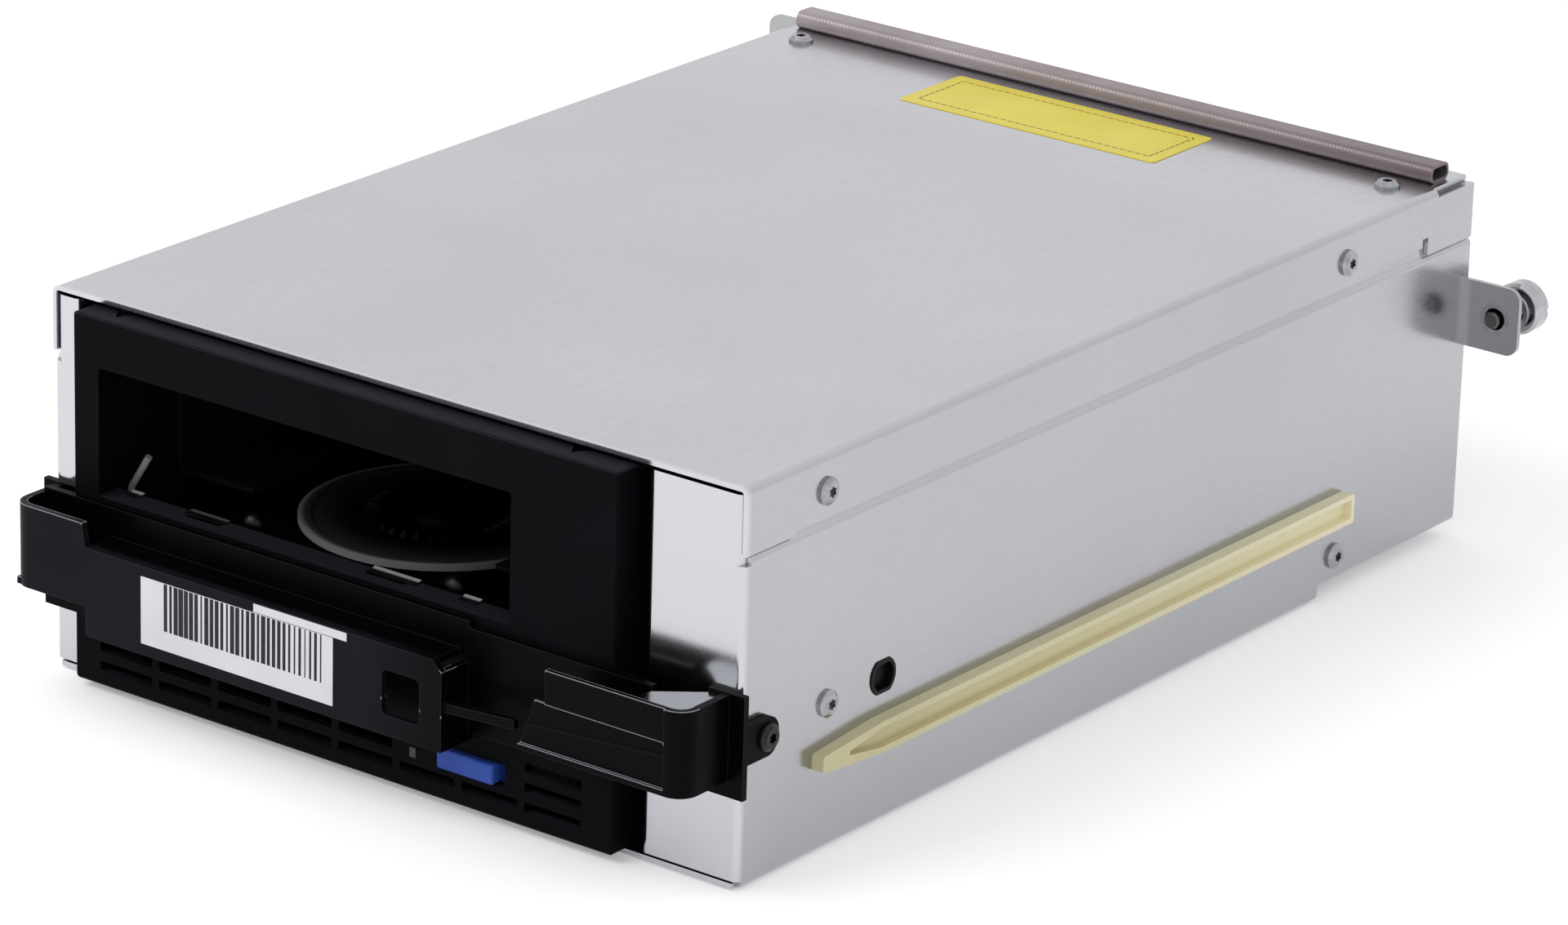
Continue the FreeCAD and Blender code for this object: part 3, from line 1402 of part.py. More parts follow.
def data_ports():
    """The two optical port cages on the interface board."""
    width, height, depth = port_size
    base = board_height + board_thickness
    cages = []
    for x in port_places:
        cage = box(x - width / 2, x + width / 2, rear - depth, rear + rear_reach, base, base + height)
        half_bore = width / 2 - port_wall
        bore = box(x - half_bore, x + half_bore, rear - depth + 2, rear + 2, base + port_wall,
                   base + height - port_wall)
        cages.append(cage.cut(bore))
    return cages


def power_connector():
    """The power inlet block with its six sockets."""
    width, height, depth = power_size
    base = board_height + board_thickness
    block = box(power_place - width / 2, power_place + width / 2, rear - depth, rear + rear_reach, base,
                base + height)
    holes = []
    column_pitch, row_pitch = power_hole_pitch
    half = power_hole / 2
    for column in (-1, 0, 1):
        for row in (-0.5, 0.5):
            x = power_place + column * column_pitch
            z = base + height / 2 + row * row_pitch
            holes.append(box(x - half, x + half, rear - depth / 2, rear + 2, z - half, z + half))
    return without(block, holes)


def fan_holes(radius, y0, length):
    """Cylinders at the fan's four corner holes."""
    x, z = fan_middle
    half = fan_hole_pitch / 2
    return [rod(x + sx * half, y0, z + sz * half, radius, length, Y_AXIS) for sx in (-1, 1) for sz in (-1, 1)]


def rear_panel():
    """The panel that closes the sled's rear, open for the fan and the connectors."""
    gap = panel_gap
    inner_low = half_width - sheet - gap
    inner_high = lap_face - sheet - gap
    y0 = rear - sheet
    low_part = box(-inner_low, inner_low, y0, rear, rear_floor + gap, ear_left_bottom - gap)
    high_part = box(-inner_high, inner_high, y0, rear, rear_floor + gap, cover_underside)
    top_flange = box(-inner_high, inner_high, rear - rear_top_flange, rear, cover_underside - sheet,
                     cover_underside)
    panel = joined([low_part, high_part, top_flange])
    x, z = fan_middle
    cuts = [rod(x, y0 - 1, z, fan_bore_radius, sheet + 2, Y_AXIS)]
    cuts += fan_holes(fan_screw_radius, y0 - 1, sheet + 2)
    cuts += screw_holes(top_screw_places(), screw_length + 1)
    base = board_height + board_thickness
    width, height, _ = port_size
    for place in port_places:
        cuts.append(box(place - width / 2 - gap, place + width / 2 + gap, y0 - 1, rear + 1, base - gap,
                        base + height + gap))
    width, height, _ = power_size
    cuts.append(box(power_place - width / 2 - gap, power_place + width / 2 + gap, y0 - 1, rear + 1,
                    base - gap,
                    base + height + gap))
    columns, rows = rear_hole_counts
    pitch_x, pitch_z = rear_hole_pitch
    for row in range(rows):
        for column in range(columns):
            hole_x = -half_width + rear_hole_first[0] + (column + row % 2 / 2) * pitch_x
            hole_z = rear_hole_first[1] + row * pitch_z
            cuts.append(rod(hole_x, y0 - 1, hole_z, rear_hole_radius, sheet + 2, Y_AXIS))
    return without(panel, cuts)


def fan_frame():
    """The fan's square housing with its bore, struts and bearing boss."""
    x, z = fan_middle
    half = fan_size / 2
    y1 = rear - sheet - fan_seat
    y0 = y1 - fan_depth
    frame = plate(rectangle_xz(x - half, x + half, z - half, z + half, y0), 3.5, Vector(0, fan_depth, 0))
    frame = frame.cut(rod(x, y0 - 1, z, fan_bore_radius, fan_depth + 2, Y_AXIS))
    waist = [box(x - half - 1, x - half + 5, y0 + 4, y1 - 4, z - half + 8, z + half - 8),
             box(x + half - 5, x + half + 1, y0 + 4, y1 - 4, z - half + 8, z + half - 8),
             box(x - half + 8, x + half - 8, y0 + 4, y1 - 4, z - half - 1, z - half + 5),
             box(x - half + 8, x + half - 8, y0 + 4, y1 - 4, z + half - 5, z + half + 1)]
    keep = rod(x, y0, z, fan_bore_radius + 1.1, fan_depth, Y_AXIS)
    waist = [piece.cut(keep) for piece in waist]
    frame = without(frame, waist)
    boss = rod(x, y0, z, fan_hub_radius, fan_boss_length, Y_AXIS)
    width, depth = fan_strut
    struts = []
    for index in range(3):
        arm = box(x - width / 2, x + width / 2, y0, y0 + depth, z, z + fan_bore_radius + 0.6)
        arm.rotate(Vector(x, y0, z), Y_AXIS, 120 * index)
        struts.append(arm)
    frame = joined([frame, boss] + struts)
    cuts = fan_holes(fan_screw_radius, y0 - 1, fan_depth + 2)
    cuts.append(rod(x, y0 - 1, z, fan_shaft_radius + running_gap, fan_boss_length + 3, Y_AXIS))
    return without(frame, cuts)


def fan_rotor():
    """The fan's hub and twisted blades on their shaft."""
    x, z = fan_middle
    y0 = rear - sheet - fan_seat - fan_depth + fan_boss_length + fan_gap
    length = fan_depth - 5.0
    hub = rod(0, 0, 0, fan_hub_radius, length)
    hub = hub.makeFillet(1.2, [edge for edge in hub.Edges if edge.Closed and edge.BoundBox.ZMin > length / 2])
    shaft = rod(0, 0, -fan_boss_length, fan_shaft_radius, fan_boss_length + 0.5)
    blades = []
    for index in range(fan_blades):
        sections = []
        for radius, turn, chord in ((fan_hub_radius - 1.0, 0.0, 0.52), (fan_blade_radius, 0.30, 0.44)):
            start = turn
            end = turn + chord
            points = [Vector(radius * math.cos(start), radius * math.sin(start), 1.0),
                      Vector(radius * math.cos(start), radius * math.sin(start), 2.4),
                      Vector(radius * math.cos(end), radius * math.sin(end), length - 1.0),
                      Vector(radius * math.cos(end), radius * math.sin(end), length - 2.4)]
            sections.append(Part.makePolygon(points + points[:1]))
        blade = Part.makeLoft(sections, True)
        blade.rotate(Vector(0, 0, 0), Z_AXIS, 360 / fan_blades * index)
        blades.append(blade)
    rotor = joined([hub, shaft] + blades)
    return placed(rotor, Vector(x, y0, z), Y_AXIS)


def fan_guard():
    """The finger guard outside the rear panel: rings of wire on four legs."""
    x, z = fan_middle
    y0 = rear
    pieces = []
    for index in range(guard_rings):
        radius = guard_first_radius + index * (fan_bore_radius - guard_leg_inner) / guard_rings
        pieces.append(ring(x, y0 + guard_wire, z, radius + guard_wire / 2, radius - guard_wire / 2,
                           guard_wire,
                           Y_AXIS))
    reach = fan_hole_pitch / 2 * math.sqrt(2)
    for index in range(4):
        leg = box(x - guard_wire / 2, x + guard_wire / 2, y0, y0 + guard_wire * 1.2, z + guard_leg_inner,
                  z + reach - guard_eye_radius + guard_leg_overlap)
        eye = ring(x, y0, z + reach, guard_eye_radius, fan_screw_radius, guard_wire, Y_AXIS)
        for piece in (leg, eye):
            piece.rotate(Vector(x, y0, z), Y_AXIS, 45 + 90 * index)
            pieces.append(piece)
    return joined(pieces)


def fan_screws():
    """The four screws that hold the guard and the fan."""
    x, z = fan_middle
    half = fan_hole_pitch / 2
    screw = pan_screw(fan_screw_length)
    return [placed(screw, Vector(x + sx * half, rear + guard_wire, z + sz * half), Y_AXIS)
            for sx in (-1, 1) for sz in (-1, 1)]


def drive_screws():
    """The four countersunk screws under the drive."""
    screws = []
    for x, y in drive_feet():
        head = Part.makeCone(screw_head_radius, screw_shank_radius, screw_head_height, Vector(x, y, 0),
                             Z_AXIS)
        shank = rod(x, y, screw_head_height - 0.01, screw_shank_radius,
                    drive_bottom - screw_head_height + 1.4)
        recess = lobed_recess(1.3, 0.9)
        recess = placed(recess, Vector(x, y, 0), Vector(0, 0, -1))
        screws.append(head.fuse(shank).cut(recess))
    return screws


def board_screws():
    """The screws that hold the interface board on its spacers."""
    screw = pan_screw(board_screw_length)
    return [placed(screw, Vector(x, y, board_height + board_thickness), Z_AXIS) for x, y in interface_feet()]


def screws_at(places, length):
    """A group of pan-head screws."""
    screw = pan_screw(length)
    return [placed(screw, position, outward) for position, outward in places]


os.makedirs("parts", exist_ok=True)

save("chassis_tray", chassis_tray())
save("top_cover", top_cover())
save("rear_panel", rear_panel())
save("side_rail_right", side_rail(1))
save("side_rail_left", side_rail(-1))
save("side_grommets", side_grommet(), mirrored(side_grommet()))
save("emi_gasket", emi_gasket())
save("notice_label", notice_label())
save("cover_screws", *(screws_at(side_screw_places(), screw_length) + screws_at(top_screw_places(),
                                                                                screw_length)))
save("wall_screws", *screws_at(lower_screw_places(), screw_length))
for word, side in (("right", 1), ("left", -1)):
    save("screw_ferrule_" + word, ferrule(side))
    save("screw_collar_" + word, screw_collar(side))
    save("screw_spring_" + word, screw_spring(side))
    save("thumbscrew_" + word, thumbscrew(side))
save("drive_bezel", drive_bezel())
save("led_lens", led_lens())
save("eject_button", eject_button())
save("button_spring", button_spring())
save("switch_board", switch_board())
save("cartridge_guide", cartridge_guide())
save("guide_label", guide_label())
save("corner_bracket", corner_bracket())
save("guide_screws", *screws_at(guide_screw_places(), screw_length + guide_ear_out))
save("drive_base", drive_base())
save("drive_lid", drive_lid())
save("drive_screws", *drive_screws())
save("deck_plate", deck_plate())
save("reel_motor", reel_motor())
save("reel_hub", reel_hub())
save("take_up_motor", take_up_motor())
save("take_up_reel", take_up_reel())
save("roller_posts", *[roller_post(index) for index in range(len(roller_positions))])
for index in range(len(roller_positions)):
    save("tape_roller_" + str(index + 1), tape_roller(index))
save("head_rods", *head_rods())
save("head_carriage", head_carriage())
save("tape_head", tape_head())
save("head_actuator", head_actuator())
save("cradle_rods", *cradle_rods())
save("cartridge_cradle", cartridge_cradle())
save("datum_pins", *datum_pins())
save("bay_lever", bay_lever())
save("drive_board", drive_board())
save("interface_board", interface_board())
save("board_spacers", *board_spacers())
save("board_screws", *board_screws())
save("data_ports", *data_ports())
save("power_connector", power_connector())
save("fan_frame", fan_frame())
save("fan_rotor", fan_rotor())
save("fan_guard", fan_guard())
save("fan_screws", *fan_screws())
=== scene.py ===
"""Looks of a data tape drive in a sheet-metal library sled.

Zinc-plated sheet, moulded plastics, a fabric-covered shielding strip, screws and labels,
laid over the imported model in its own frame, in metres.
"""
import json
import math

import bmesh
import bpy
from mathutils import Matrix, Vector


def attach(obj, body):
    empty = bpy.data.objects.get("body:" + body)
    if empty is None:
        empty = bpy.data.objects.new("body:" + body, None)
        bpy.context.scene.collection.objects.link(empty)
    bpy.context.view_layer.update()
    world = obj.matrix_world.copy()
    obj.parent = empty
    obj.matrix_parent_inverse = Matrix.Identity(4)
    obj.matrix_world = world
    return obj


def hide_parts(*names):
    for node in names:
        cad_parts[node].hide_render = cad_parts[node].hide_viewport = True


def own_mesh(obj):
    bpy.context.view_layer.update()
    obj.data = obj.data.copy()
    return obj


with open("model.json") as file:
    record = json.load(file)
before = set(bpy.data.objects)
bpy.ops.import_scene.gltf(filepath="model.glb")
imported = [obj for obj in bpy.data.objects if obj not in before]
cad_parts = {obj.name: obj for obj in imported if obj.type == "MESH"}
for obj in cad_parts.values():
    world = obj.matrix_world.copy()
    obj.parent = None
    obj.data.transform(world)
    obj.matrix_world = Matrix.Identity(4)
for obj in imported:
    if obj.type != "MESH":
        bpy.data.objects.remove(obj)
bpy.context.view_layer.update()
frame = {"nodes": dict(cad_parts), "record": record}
nodes = frame["nodes"]
MM = 0.001


# ---- Small helpers ----
def linear(hex_colour):
    """A display colour written as six hex digits, as the linear values that a shader takes."""
    channels = [int(hex_colour[i:i + 2], 16) / 255 for i in (0, 2, 4)]
    return [c / 12.92 if c <= 0.04045 else ((c + 0.055) / 1.055) ** 2.4 for c in channels] + [1.0]


def add(tree, kind, settings=None, **links):
    """A node of that kind, with its settings and its inputs: a value, or another node's output.

    An input is given by its name, or by its number as i0, i1 and so on.
    """
    made = tree.nodes.new(kind)
    for key, value in (settings or {}).items():
        setattr(made, key, value)
    for key, value in links.items():
        numbered = key[0] == "i" and key[1:].isdigit()
        socket = made.inputs[int(key[1:]) if numbered else key.replace("_", " ")]
        if isinstance(value, bpy.types.NodeSocket):
            tree.links.new(value, socket)
        else:
            socket.default_value = value
    return made


def placed(name, data):
    """A new object in the scene."""
    made = bpy.data.objects.new(name, data)
    bpy.context.scene.collection.objects.link(made)
    return made


def empty_material(name):
    """A material with no nodes yet."""
    material = bpy.data.materials.new(name)
    material.use_nodes = True
    material.node_tree.nodes.clear()
    return material


def surface(name, base, roughness, metallic=0.0, bump=None, **sockets):
    """A material with a Principled surface. Its base and roughness are values or functions."""
    material = empty_material(name)
    tree = material.node_tree
    place = add(tree, "ShaderNodeTexCoord").outputs["Object"]
    shader = add(tree, "ShaderNodeBsdfPrincipled", Metallic=metallic)
    for key, value in (("Base Color", base), ("Roughness", roughness)):
        value = value(tree, place) if callable(value) else value
        if isinstance(value, bpy.types.NodeSocket):
            tree.links.new(value, shader.inputs[key])
        else:
            shader.inputs[key].default_value = value
    if bump:
        tree.links.new(bump(tree, place), shader.inputs["Normal"])
    for key, value in sockets.items():
        shader.inputs[key.replace("_", " ")].default_value = value
    out = add(tree, "ShaderNodeOutputMaterial")
    tree.links.new(shader.outputs[0], out.inputs[0])
    return material


def speckle(tree, place, per_mm, stretch=(1, 1, 1), detail=3.0, rough=0.55):
    """A noise value whose grains are about 1 / per_mm millimetres wide."""
    scaled = add(tree, "ShaderNodeMapping", Vector=place, Scale=stretch).outputs[0]
    return add(tree, "ShaderNodeTexNoise", Vector=scaled, Scale=per_mm / MM, Detail=detail,
               Roughness=rough).outputs["Fac"]


def between(tree, factor, low, high, start=0.0, end=1.0):
    """The factor from start to end, spread between two values."""
    return add(tree, "ShaderNodeMapRange", Value=factor, From_Min=start, From_Max=end,
               To_Min=low, To_Max=high).outputs["Result"]


def blended(tree, factor, first, second):
    """A colour between two colours, each written in hex or made by another node."""
    mix = add(tree, "ShaderNodeMix", {"data_type": "RGBA"}, i0=factor)
    for socket, colour in ((mix.inputs[6], first), (mix.inputs[7], second)):
        if isinstance(colour, str):
            socket.default_value = linear(colour)
        else:
            tree.links.new(colour, socket)
    return mix.outputs[2]


def faded(tree, value, start, end, first, second):
    """The first colour, turning into the second while a value goes from start to end."""
    return blended(tree, between(tree, value, 0.0, 1.0, start, end), first, second)


def raised(tree, height, depth_mm):
    """A bump from a height between 0 and 1, that deep in millimetres."""
    return add(tree, "ShaderNodeBump", Strength=1.0, Distance=depth_mm * MM,
               Height=height).outputs[0]


def calculated(tree, operation, *values):
    """The result of a sum, product, distance or comparison of numbers."""
    return add(tree, "ShaderNodeMath", {"operation": operation},
               **{f"i{index}": value for index, value in enumerate(values)}).outputs[0]


def split(tree, vector):
    """The X, Y and Z of a vector."""
    return add(tree, "ShaderNodeSeparateXYZ", Vector=vector).outputs


def facing(tree):
    """The way that a face looks, whatever its bump."""
    return add(tree, "ShaderNodeNewGeometry").outputs["True Normal"]


def corners_of(name):
    """Lowest and highest corner of a node's mesh."""
    points = [vertex.co for vertex in nodes[name].data.vertices]
    return (Vector(min(point[axis] for point in points) for axis in range(3)),
            Vector(max(point[axis] for point in points) for axis in range(3)))


# ---- Patterns that several finishes share ----
def fine_grain(per_mm, depth):
    """A grain pressed into the surface, depth in millimetres."""
    return lambda tree, place: raised(tree, speckle(tree, place, per_mm, detail=2.0), depth)


def mottled(first, second, per_mm=0.05):
    """Two close colours in soft patches."""
    return lambda tree, place: faded(tree, speckle(tree, place, per_mm), 0.35, 0.65, first, second)


def uneven(low, high, per_mm=0.08):
    """A roughness that wanders between two values."""
    return lambda tree, place: between(tree, speckle(tree, place, per_mm), low, high, 0.3, 0.7)


def edge_share(tree, radius_mm):
    """How much of a rounded edge lies here: 0 on a flat face, rising to 1 at an edge."""
    soft = add(tree, "ShaderNodeBevel", {"samples": 6}, Radius=radius_mm * MM).outputs[0]
    aligned = add(tree, "ShaderNodeVectorMath", {"operation": "DOT_PRODUCT"}, i0=soft,
                  i1=facing(tree)).outputs["Value"]
    return between(tree, aligned, 1.0, 0.0, 0.80, 0.97)


def axis_distance(tree, place, middle):
    """Distance in metres from an upright axis through a point."""
    parts = split(tree, place)
    across = calculated(tree, "SUBTRACT", parts["X"], middle.x)
    along = calculated(tree, "SUBTRACT", parts["Y"], middle.y)
    squares = [calculated(tree, "MULTIPLY", side, side) for side in (across, along)]
    return calculated(tree, "SQRT", calculated(tree, "ADD", *squares))


# ---- Sheet metal ----
sled_half = corners_of("top_cover")[1].x
sled_front = corners_of("chassis_tray")[0].y
sled_rear = corners_of("chassis_tray")[1].y
flange_depth = 0.5 * MM


def zinc_colour(tree, place):
    """Faintly blue grey with a rolled grain, with painted shade on the side walls and ears and
    painted light on the front flanges.
    """
    cloud = speckle(tree, place, 0.012, detail=2.0)
    fine = speckle(tree, place, 0.9, stretch=(1, 0.25, 1), detail=2.0)
    base = faded(tree, cloud, 0.3, 0.7, "b7b8bd", "c0c0c5")
    grained = blended(tree, between(tree, fine, 0.0, 0.35, 0.4, 0.75), base, "b0b1b6")
    # Painted shade: faces that look sideways, the side walls, are darker.
    sideways = calculated(tree, "ABSOLUTE", split(tree, facing(tree))["X"])
    walls = blended(tree, between(tree, sideways, 0.0, 0.42, 0.5, 0.9), grained, "a8a9ae")
    parts = split(tree, place)
    # Painted light: the front flanges are brighter than the rest of the sheet.
    flange_end = sled_front + flange_depth
    flange_light_share = between(tree, parts["Y"], 1.0, 0.0, flange_end, flange_end + 1.0 * MM)
    pressed = blended(tree, flange_light_share, walls, "c5c6cb")
    # Painted shade: the ears beyond the side walls are darker.
    outwards = calculated(tree, "ABSOLUTE", parts["X"])
    return faded(tree, outwards, sled_half + 0.8 * MM, sled_half + 2.0 * MM, pressed, "a8a7a9")


def zinc_roughness(tree, place):
    """Satin, and more polished on the front flanges that the folding tool has pressed."""
    cloud = speckle(tree, place, 0.02)
    grain = speckle(tree, place, 3.0, stretch=(1, 0.12, 1), detail=2.0)
    rolled = calculated(tree, "ADD", between(tree, cloud, 0.17, 0.24, 0.3, 0.7),
                        between(tree, grain, -0.02, 0.04, 0.3, 0.7))
    flange_end = sled_front + flange_depth
    polish = between(tree, split(tree, place)["Y"], 0.8, 1.0, flange_end, flange_end + 1.5 * MM)
    return calculated(tree, "MULTIPLY", rolled, polish)


def zinc_bump(tree, place):
    """The grain that the rolling mill leaves, drawn out along the sheet."""
    return raised(tree, speckle(tree, place, 1.6, stretch=(1, 0.3, 1)), 0.004)


# Electro-galvanised sheet steel, rolled and folded: satin, faintly blue, with a soft rolled grain
# and cloudy patches, painted shade on its walls and ears and painted light on its front flanges.
# It mirrors what stands close to it and blurs what is further away.
zinc_sheet = surface("zinc_plated_sheet", zinc_colour, zinc_roughness, 1.0, zinc_bump)
# Pressed stainless sheet of the drive's lid and guards: a little darker and duller than the zinc.
stainless = surface("pressed_stainless_sheet", mottled("9b9ca0", "b0b1b5", 0.03),
                    uneven(0.25, 0.38, 0.05), 1.0, fine_grain(2.0, 0.004))
# Electro-coated steel of the loading cradle and deck, coloured near-black as painted shade of the
# bay: matt, so that the bay stays dark.
bay_shade_steel = surface("black_coated_steel", mottled("0a0a0c", "0e0f11", 0.1),
                       uneven(0.5, 0.62, 0.1), 0.0, fine_grain(2.0, 0.01), Specular_IOR_Level=0.12)

# ---- Cast and machined metal ----
# Die-cast drive housing, coloured near-black as painted shade of the bay: fine-grained and dull,
# only its edges catch any light.
cast_metal = surface("black_anodised_casting", mottled("0b0b0d", "101013", 0.1),
                     uneven(0.45, 0.6, 0.3), 0.0, fine_grain(1.2, 0.03), Specular_IOR_Level=0.12)
# Motor and actuator cases: dark zinc castings with a dull grain.
motor_case = surface("dark_zinc_casting", mottled("2c2d31", "38393d", 0.1),
                     uneven(0.45, 0.6, 0.3), 1.0, fine_grain(1.2, 0.02))
# Nickel-plated steel of the screw heads: polished, slightly worn round the recess.
bright_screw = surface("nickel_plated_steel", mottled("94949a", "acacb0", 0.6),
                       uneven(0.16, 0.30, 0.8), 1.0, fine_grain(4.0, 0.004))
# Black-oxide screws that hold the plastic guide: nearly black with a weak oily gloss.
black_screw = surface("black_oxide_steel", mottled("0d0d10", "17171b", 0.6),
                      uneven(0.35, 0.45, 0.8), 0.0, fine_grain(4.0, 0.004), Specular_IOR_Level=0.3)
# Ground steel pins and rods, coloured dark as painted shade of the bay, with a narrow highlight.
ground_steel = surface("ground_dark_steel", mottled("222225", "2c2c30", 0.3),
                       uneven(0.30, 0.40, 0.3), 1.0, fine_grain(3.0, 0.003))
# Drawn steel wire of the coils: grey, with a bright line along each turn.
spring_wire = surface("drawn_spring_wire", mottled("8f8f92", "a4a4a8", 0.8),
                      uneven(0.22, 0.35, 0.8), 1.0, fine_grain(3.0, 0.004))
# Lapped face of the tape head: warm and smooth, almost a mirror.
head_metal = surface("lapped_head_brass", mottled("8d7b4e", "9d8b5c", 0.2),
                     uneven(0.12, 0.2, 0.2), 1.0, fine_grain(3.0, 0.002))


def knob_colour(tree, place):
    """Bright on the knob, darker on the shank that comes through the ear."""
    worn = mottled("a8a8ac", "bababe", 0.3)(tree, place)
    on_shank = between(tree, split(tree, place)["Y"], 1.0, 0.0, sled_rear, sled_rear + 3 * MM)
    return blended(tree, on_shank, worn, "5c5b5a")


def turning_lines(tree, place):
    """Rings left by the lathe along the screw's own axis."""
    rings = add(tree, "ShaderNodeTexWave", {"wave_type": "BANDS", "bands_direction": "Y"},
                Vector=place, Scale=0.9 / MM, Distortion=0.6, Detail=1.0).outputs["Fac"]
    return raised(tree, rings, 0.004)


# Turned and nickel-plated captive screw: bands of gloss round the knob, fine rings from the lathe.
knob_metal = surface("turned_nickel_brass", knob_colour, uneven(0.10, 0.20, 0.5), 1.0,
                     turning_lines)
reel_low, reel_high = corners_of("reel_hub")
reel_middle = (reel_low + reel_high) / 2
reel_radius = (reel_high.x - reel_low.x) / 2


def reel_colour(tree, place):
    """Painted shade: black inside the clutch teeth and darkening inwards across the open disc; a
    painted highlight pales the rim.
    """
    distance = axis_distance(tree, place, reel_middle)
    disc = faded(tree, distance, reel_radius * 0.62, reel_radius * 0.95, "030304", "303135")
    return faded(tree, distance, reel_radius * 0.95, reel_radius * 0.995, disc, "858589")


# Turned aluminium drive clutch: a matt disc, dark with painted shade towards its middle, with a
# painted highlight on its rim.
reel_metal = surface("blasted_aluminium_disc", reel_colour, uneven(0.42, 0.52, 0.1), 0.0,
                     fine_grain(2.0, 0.006), Specular_IOR_Level=0.06)
sill_top = 44.8 * MM


def spring_colour(tree, place):
    """Near-black as painted shade of the sill's notches, with a painted highlight along the crest.
    """
    notch_shade = mottled("0c0c0f", "141418", 0.5)(tree, place)
    height = split(tree, place)["Z"]
    return faded(tree, height, sill_top + 0.28 * MM, sill_top + 0.42 * MM, notch_shade, "a2a2a6")


# Spring steel, near-black as painted shade of the sill's notches, with a painted highlight along
# the crest that the cartridge slides over.
sill_steel = surface("blued_spring_steel", spring_colour, uneven(0.3, 0.4, 0.3), 0.3,
                     fine_grain(3.0, 0.003))


# ---- Plastics ----
def bezel_colour(tree, place):
    """Deep black, with painted light on the faces that look up."""
    base = mottled("06070a", "0a0b0f", 0.05)(tree, place)
    # Painted light: faces that look up are lighter.
    return faded(tree, split(tree, facing(tree))["Z"], 0.3, 0.9, base, "212127")


# ABS bezel, injection moulded in a spark-eroded tool: deep black with hardly any gloss.
bezel_abs = surface("textured_abs", bezel_colour, uneven(0.50, 0.60, 0.1), 0.0,
                    fine_grain(2.2, 0.02), Specular_IOR_Level=0.035)
# Heights in millimetres of the guide's edges that carry a painted highlight.
lit_edge_heights = (25.3, 35.3, 42.7)
lit_edge_half_band = 0.32 * MM
lit_edge_depth = 5 * MM
guide_front = corners_of("cartridge_guide")[0].y


def guide_colour(tree, place):
    """Charcoal black, with painted shade deepening the right arm and the inside of the channel.

    Painted highlights lighten its moulded edges at set heights near the front.
    """
    base = mottled("13151a", "181a1e", 0.04)(tree, place)
    parts = split(tree, place)
    # Painted shade: the right arm and the inside of the channel are darker.
    base = faded(tree, parts["X"], 5 * MM, 30 * MM, base, "040507")
    base = faded(tree, parts["Y"], guide_front + 1.5 * MM, guide_front + 3.0 * MM, base, "030304")
    # Painted highlights along the edges at the listed heights, near the front.
    near = None
    for level in lit_edge_heights:
        here = calculated(tree, "COMPARE", parts["Z"], level * MM, lit_edge_half_band)
        near = calculated(tree, "MAXIMUM", near, here) if near else here
    in_front = calculated(tree, "LESS_THAN", parts["Y"], guide_front + lit_edge_depth)
    near = calculated(tree, "MULTIPLY", near, in_front)
    share = calculated(tree, "MULTIPLY", edge_share(tree, 0.45), between(tree, near, 0.04, 1.0))
    return blended(tree, share, base, "b4b6bd")


# Glass-filled polycarbonate guide, injection moulded: smoother and a little lighter than the bezel.
guide_pc = surface("moulded_polycarbonate", guide_colour, uneven(0.34, 0.44, 0.08), 0.0,
                   fine_grain(1.8, 0.008), Specular_IOR_Level=0.045)
# Moulded nylon of the fan, reel, plug and grommets: black with a weak, uneven sheen.
nylon_black = surface("black_nylon", mottled("08080a", "0e0e10", 0.1), uneven(0.4, 0.5, 0.1), 0.0,
                      fine_grain(1.5, 0.01), Specular_IOR_Level=0.15)
rail_low, rail_high = corners_of("side_rail_right")


def rail_colour(tree, place):
    """Cream in soft patches, darker towards the front end, with a painted highlight at its edges.
    """
    front_to_rear_tone = faded(tree, split(tree, place)["Y"], rail_low.y, rail_high.y, "c6be92", "f6efcd")
    patches = between(tree, speckle(tree, place, 0.03), 0.0, 0.35, 0.35, 0.65)
    base = blended(tree, patches, front_to_rear_tone, "e4ddb8")
    # Painted highlight on the rounded edges.
    return blended(tree, between(tree, edge_share(tree, 0.6), 0.0, 0.4), base, "dfd9bb")


# Acetal rail, extruded: cream and waxy, a little light passes into its edges.
rail_acetal = surface("cream_acetal", rail_colour, uneven(0.38, 0.5, 0.1), 0.0,
                      fine_grain(1.0, 0.01), Subsurface_Weight=0.06, Subsurface_Scale=0.002)
# ABS push button: saturated blue with a fine mould texture.
button_abs = surface("blue_abs", mottled("2b4aa2", "3153ae", 0.1), uneven(0.38, 0.46, 0.2), 0.0,
                     fine_grain(2.0, 0.01), Specular_IOR_Level=0.25)
# Natural acetal lever, moulded: grey white and waxy in the shade of the bay.
lever_acetal = surface("natural_acetal", mottled("a6a6a4", "b2b2b0", 0.2),
                       uneven(0.35, 0.45, 0.2), 0.0, fine_grain(2.0, 0.01))
# Frosted acrylic light pipe, unlit: smoky, and it lets a little light through.
clear_lens = surface("frosted_acrylic", mottled("2c2e2d", "3a3c3b", 0.5),
                     uneven(0.25, 0.35, 0.5), 0.0, fine_grain(3.0, 0.01), Transmission_Weight=0.4)
# Glazed ceramic of the tape rollers: off-white and smooth.
ceramic = surface("glazed_roller_ceramic", mottled("b8b6ac", "c2c0b8", 0.1),
                  uneven(0.2, 0.3, 0.2), 0.0, fine_grain(3.0, 0.002))
# Circuit board with black solder mask: the copper below it shows as a faint relief.
board_laminate = surface("black_solder_mask", mottled("0a0c0b", "0f1210", 0.3),
                         uneven(0.35, 0.5, 0.3), 0.0, fine_grain(1.0, 0.02), Specular_IOR_Level=0.2)


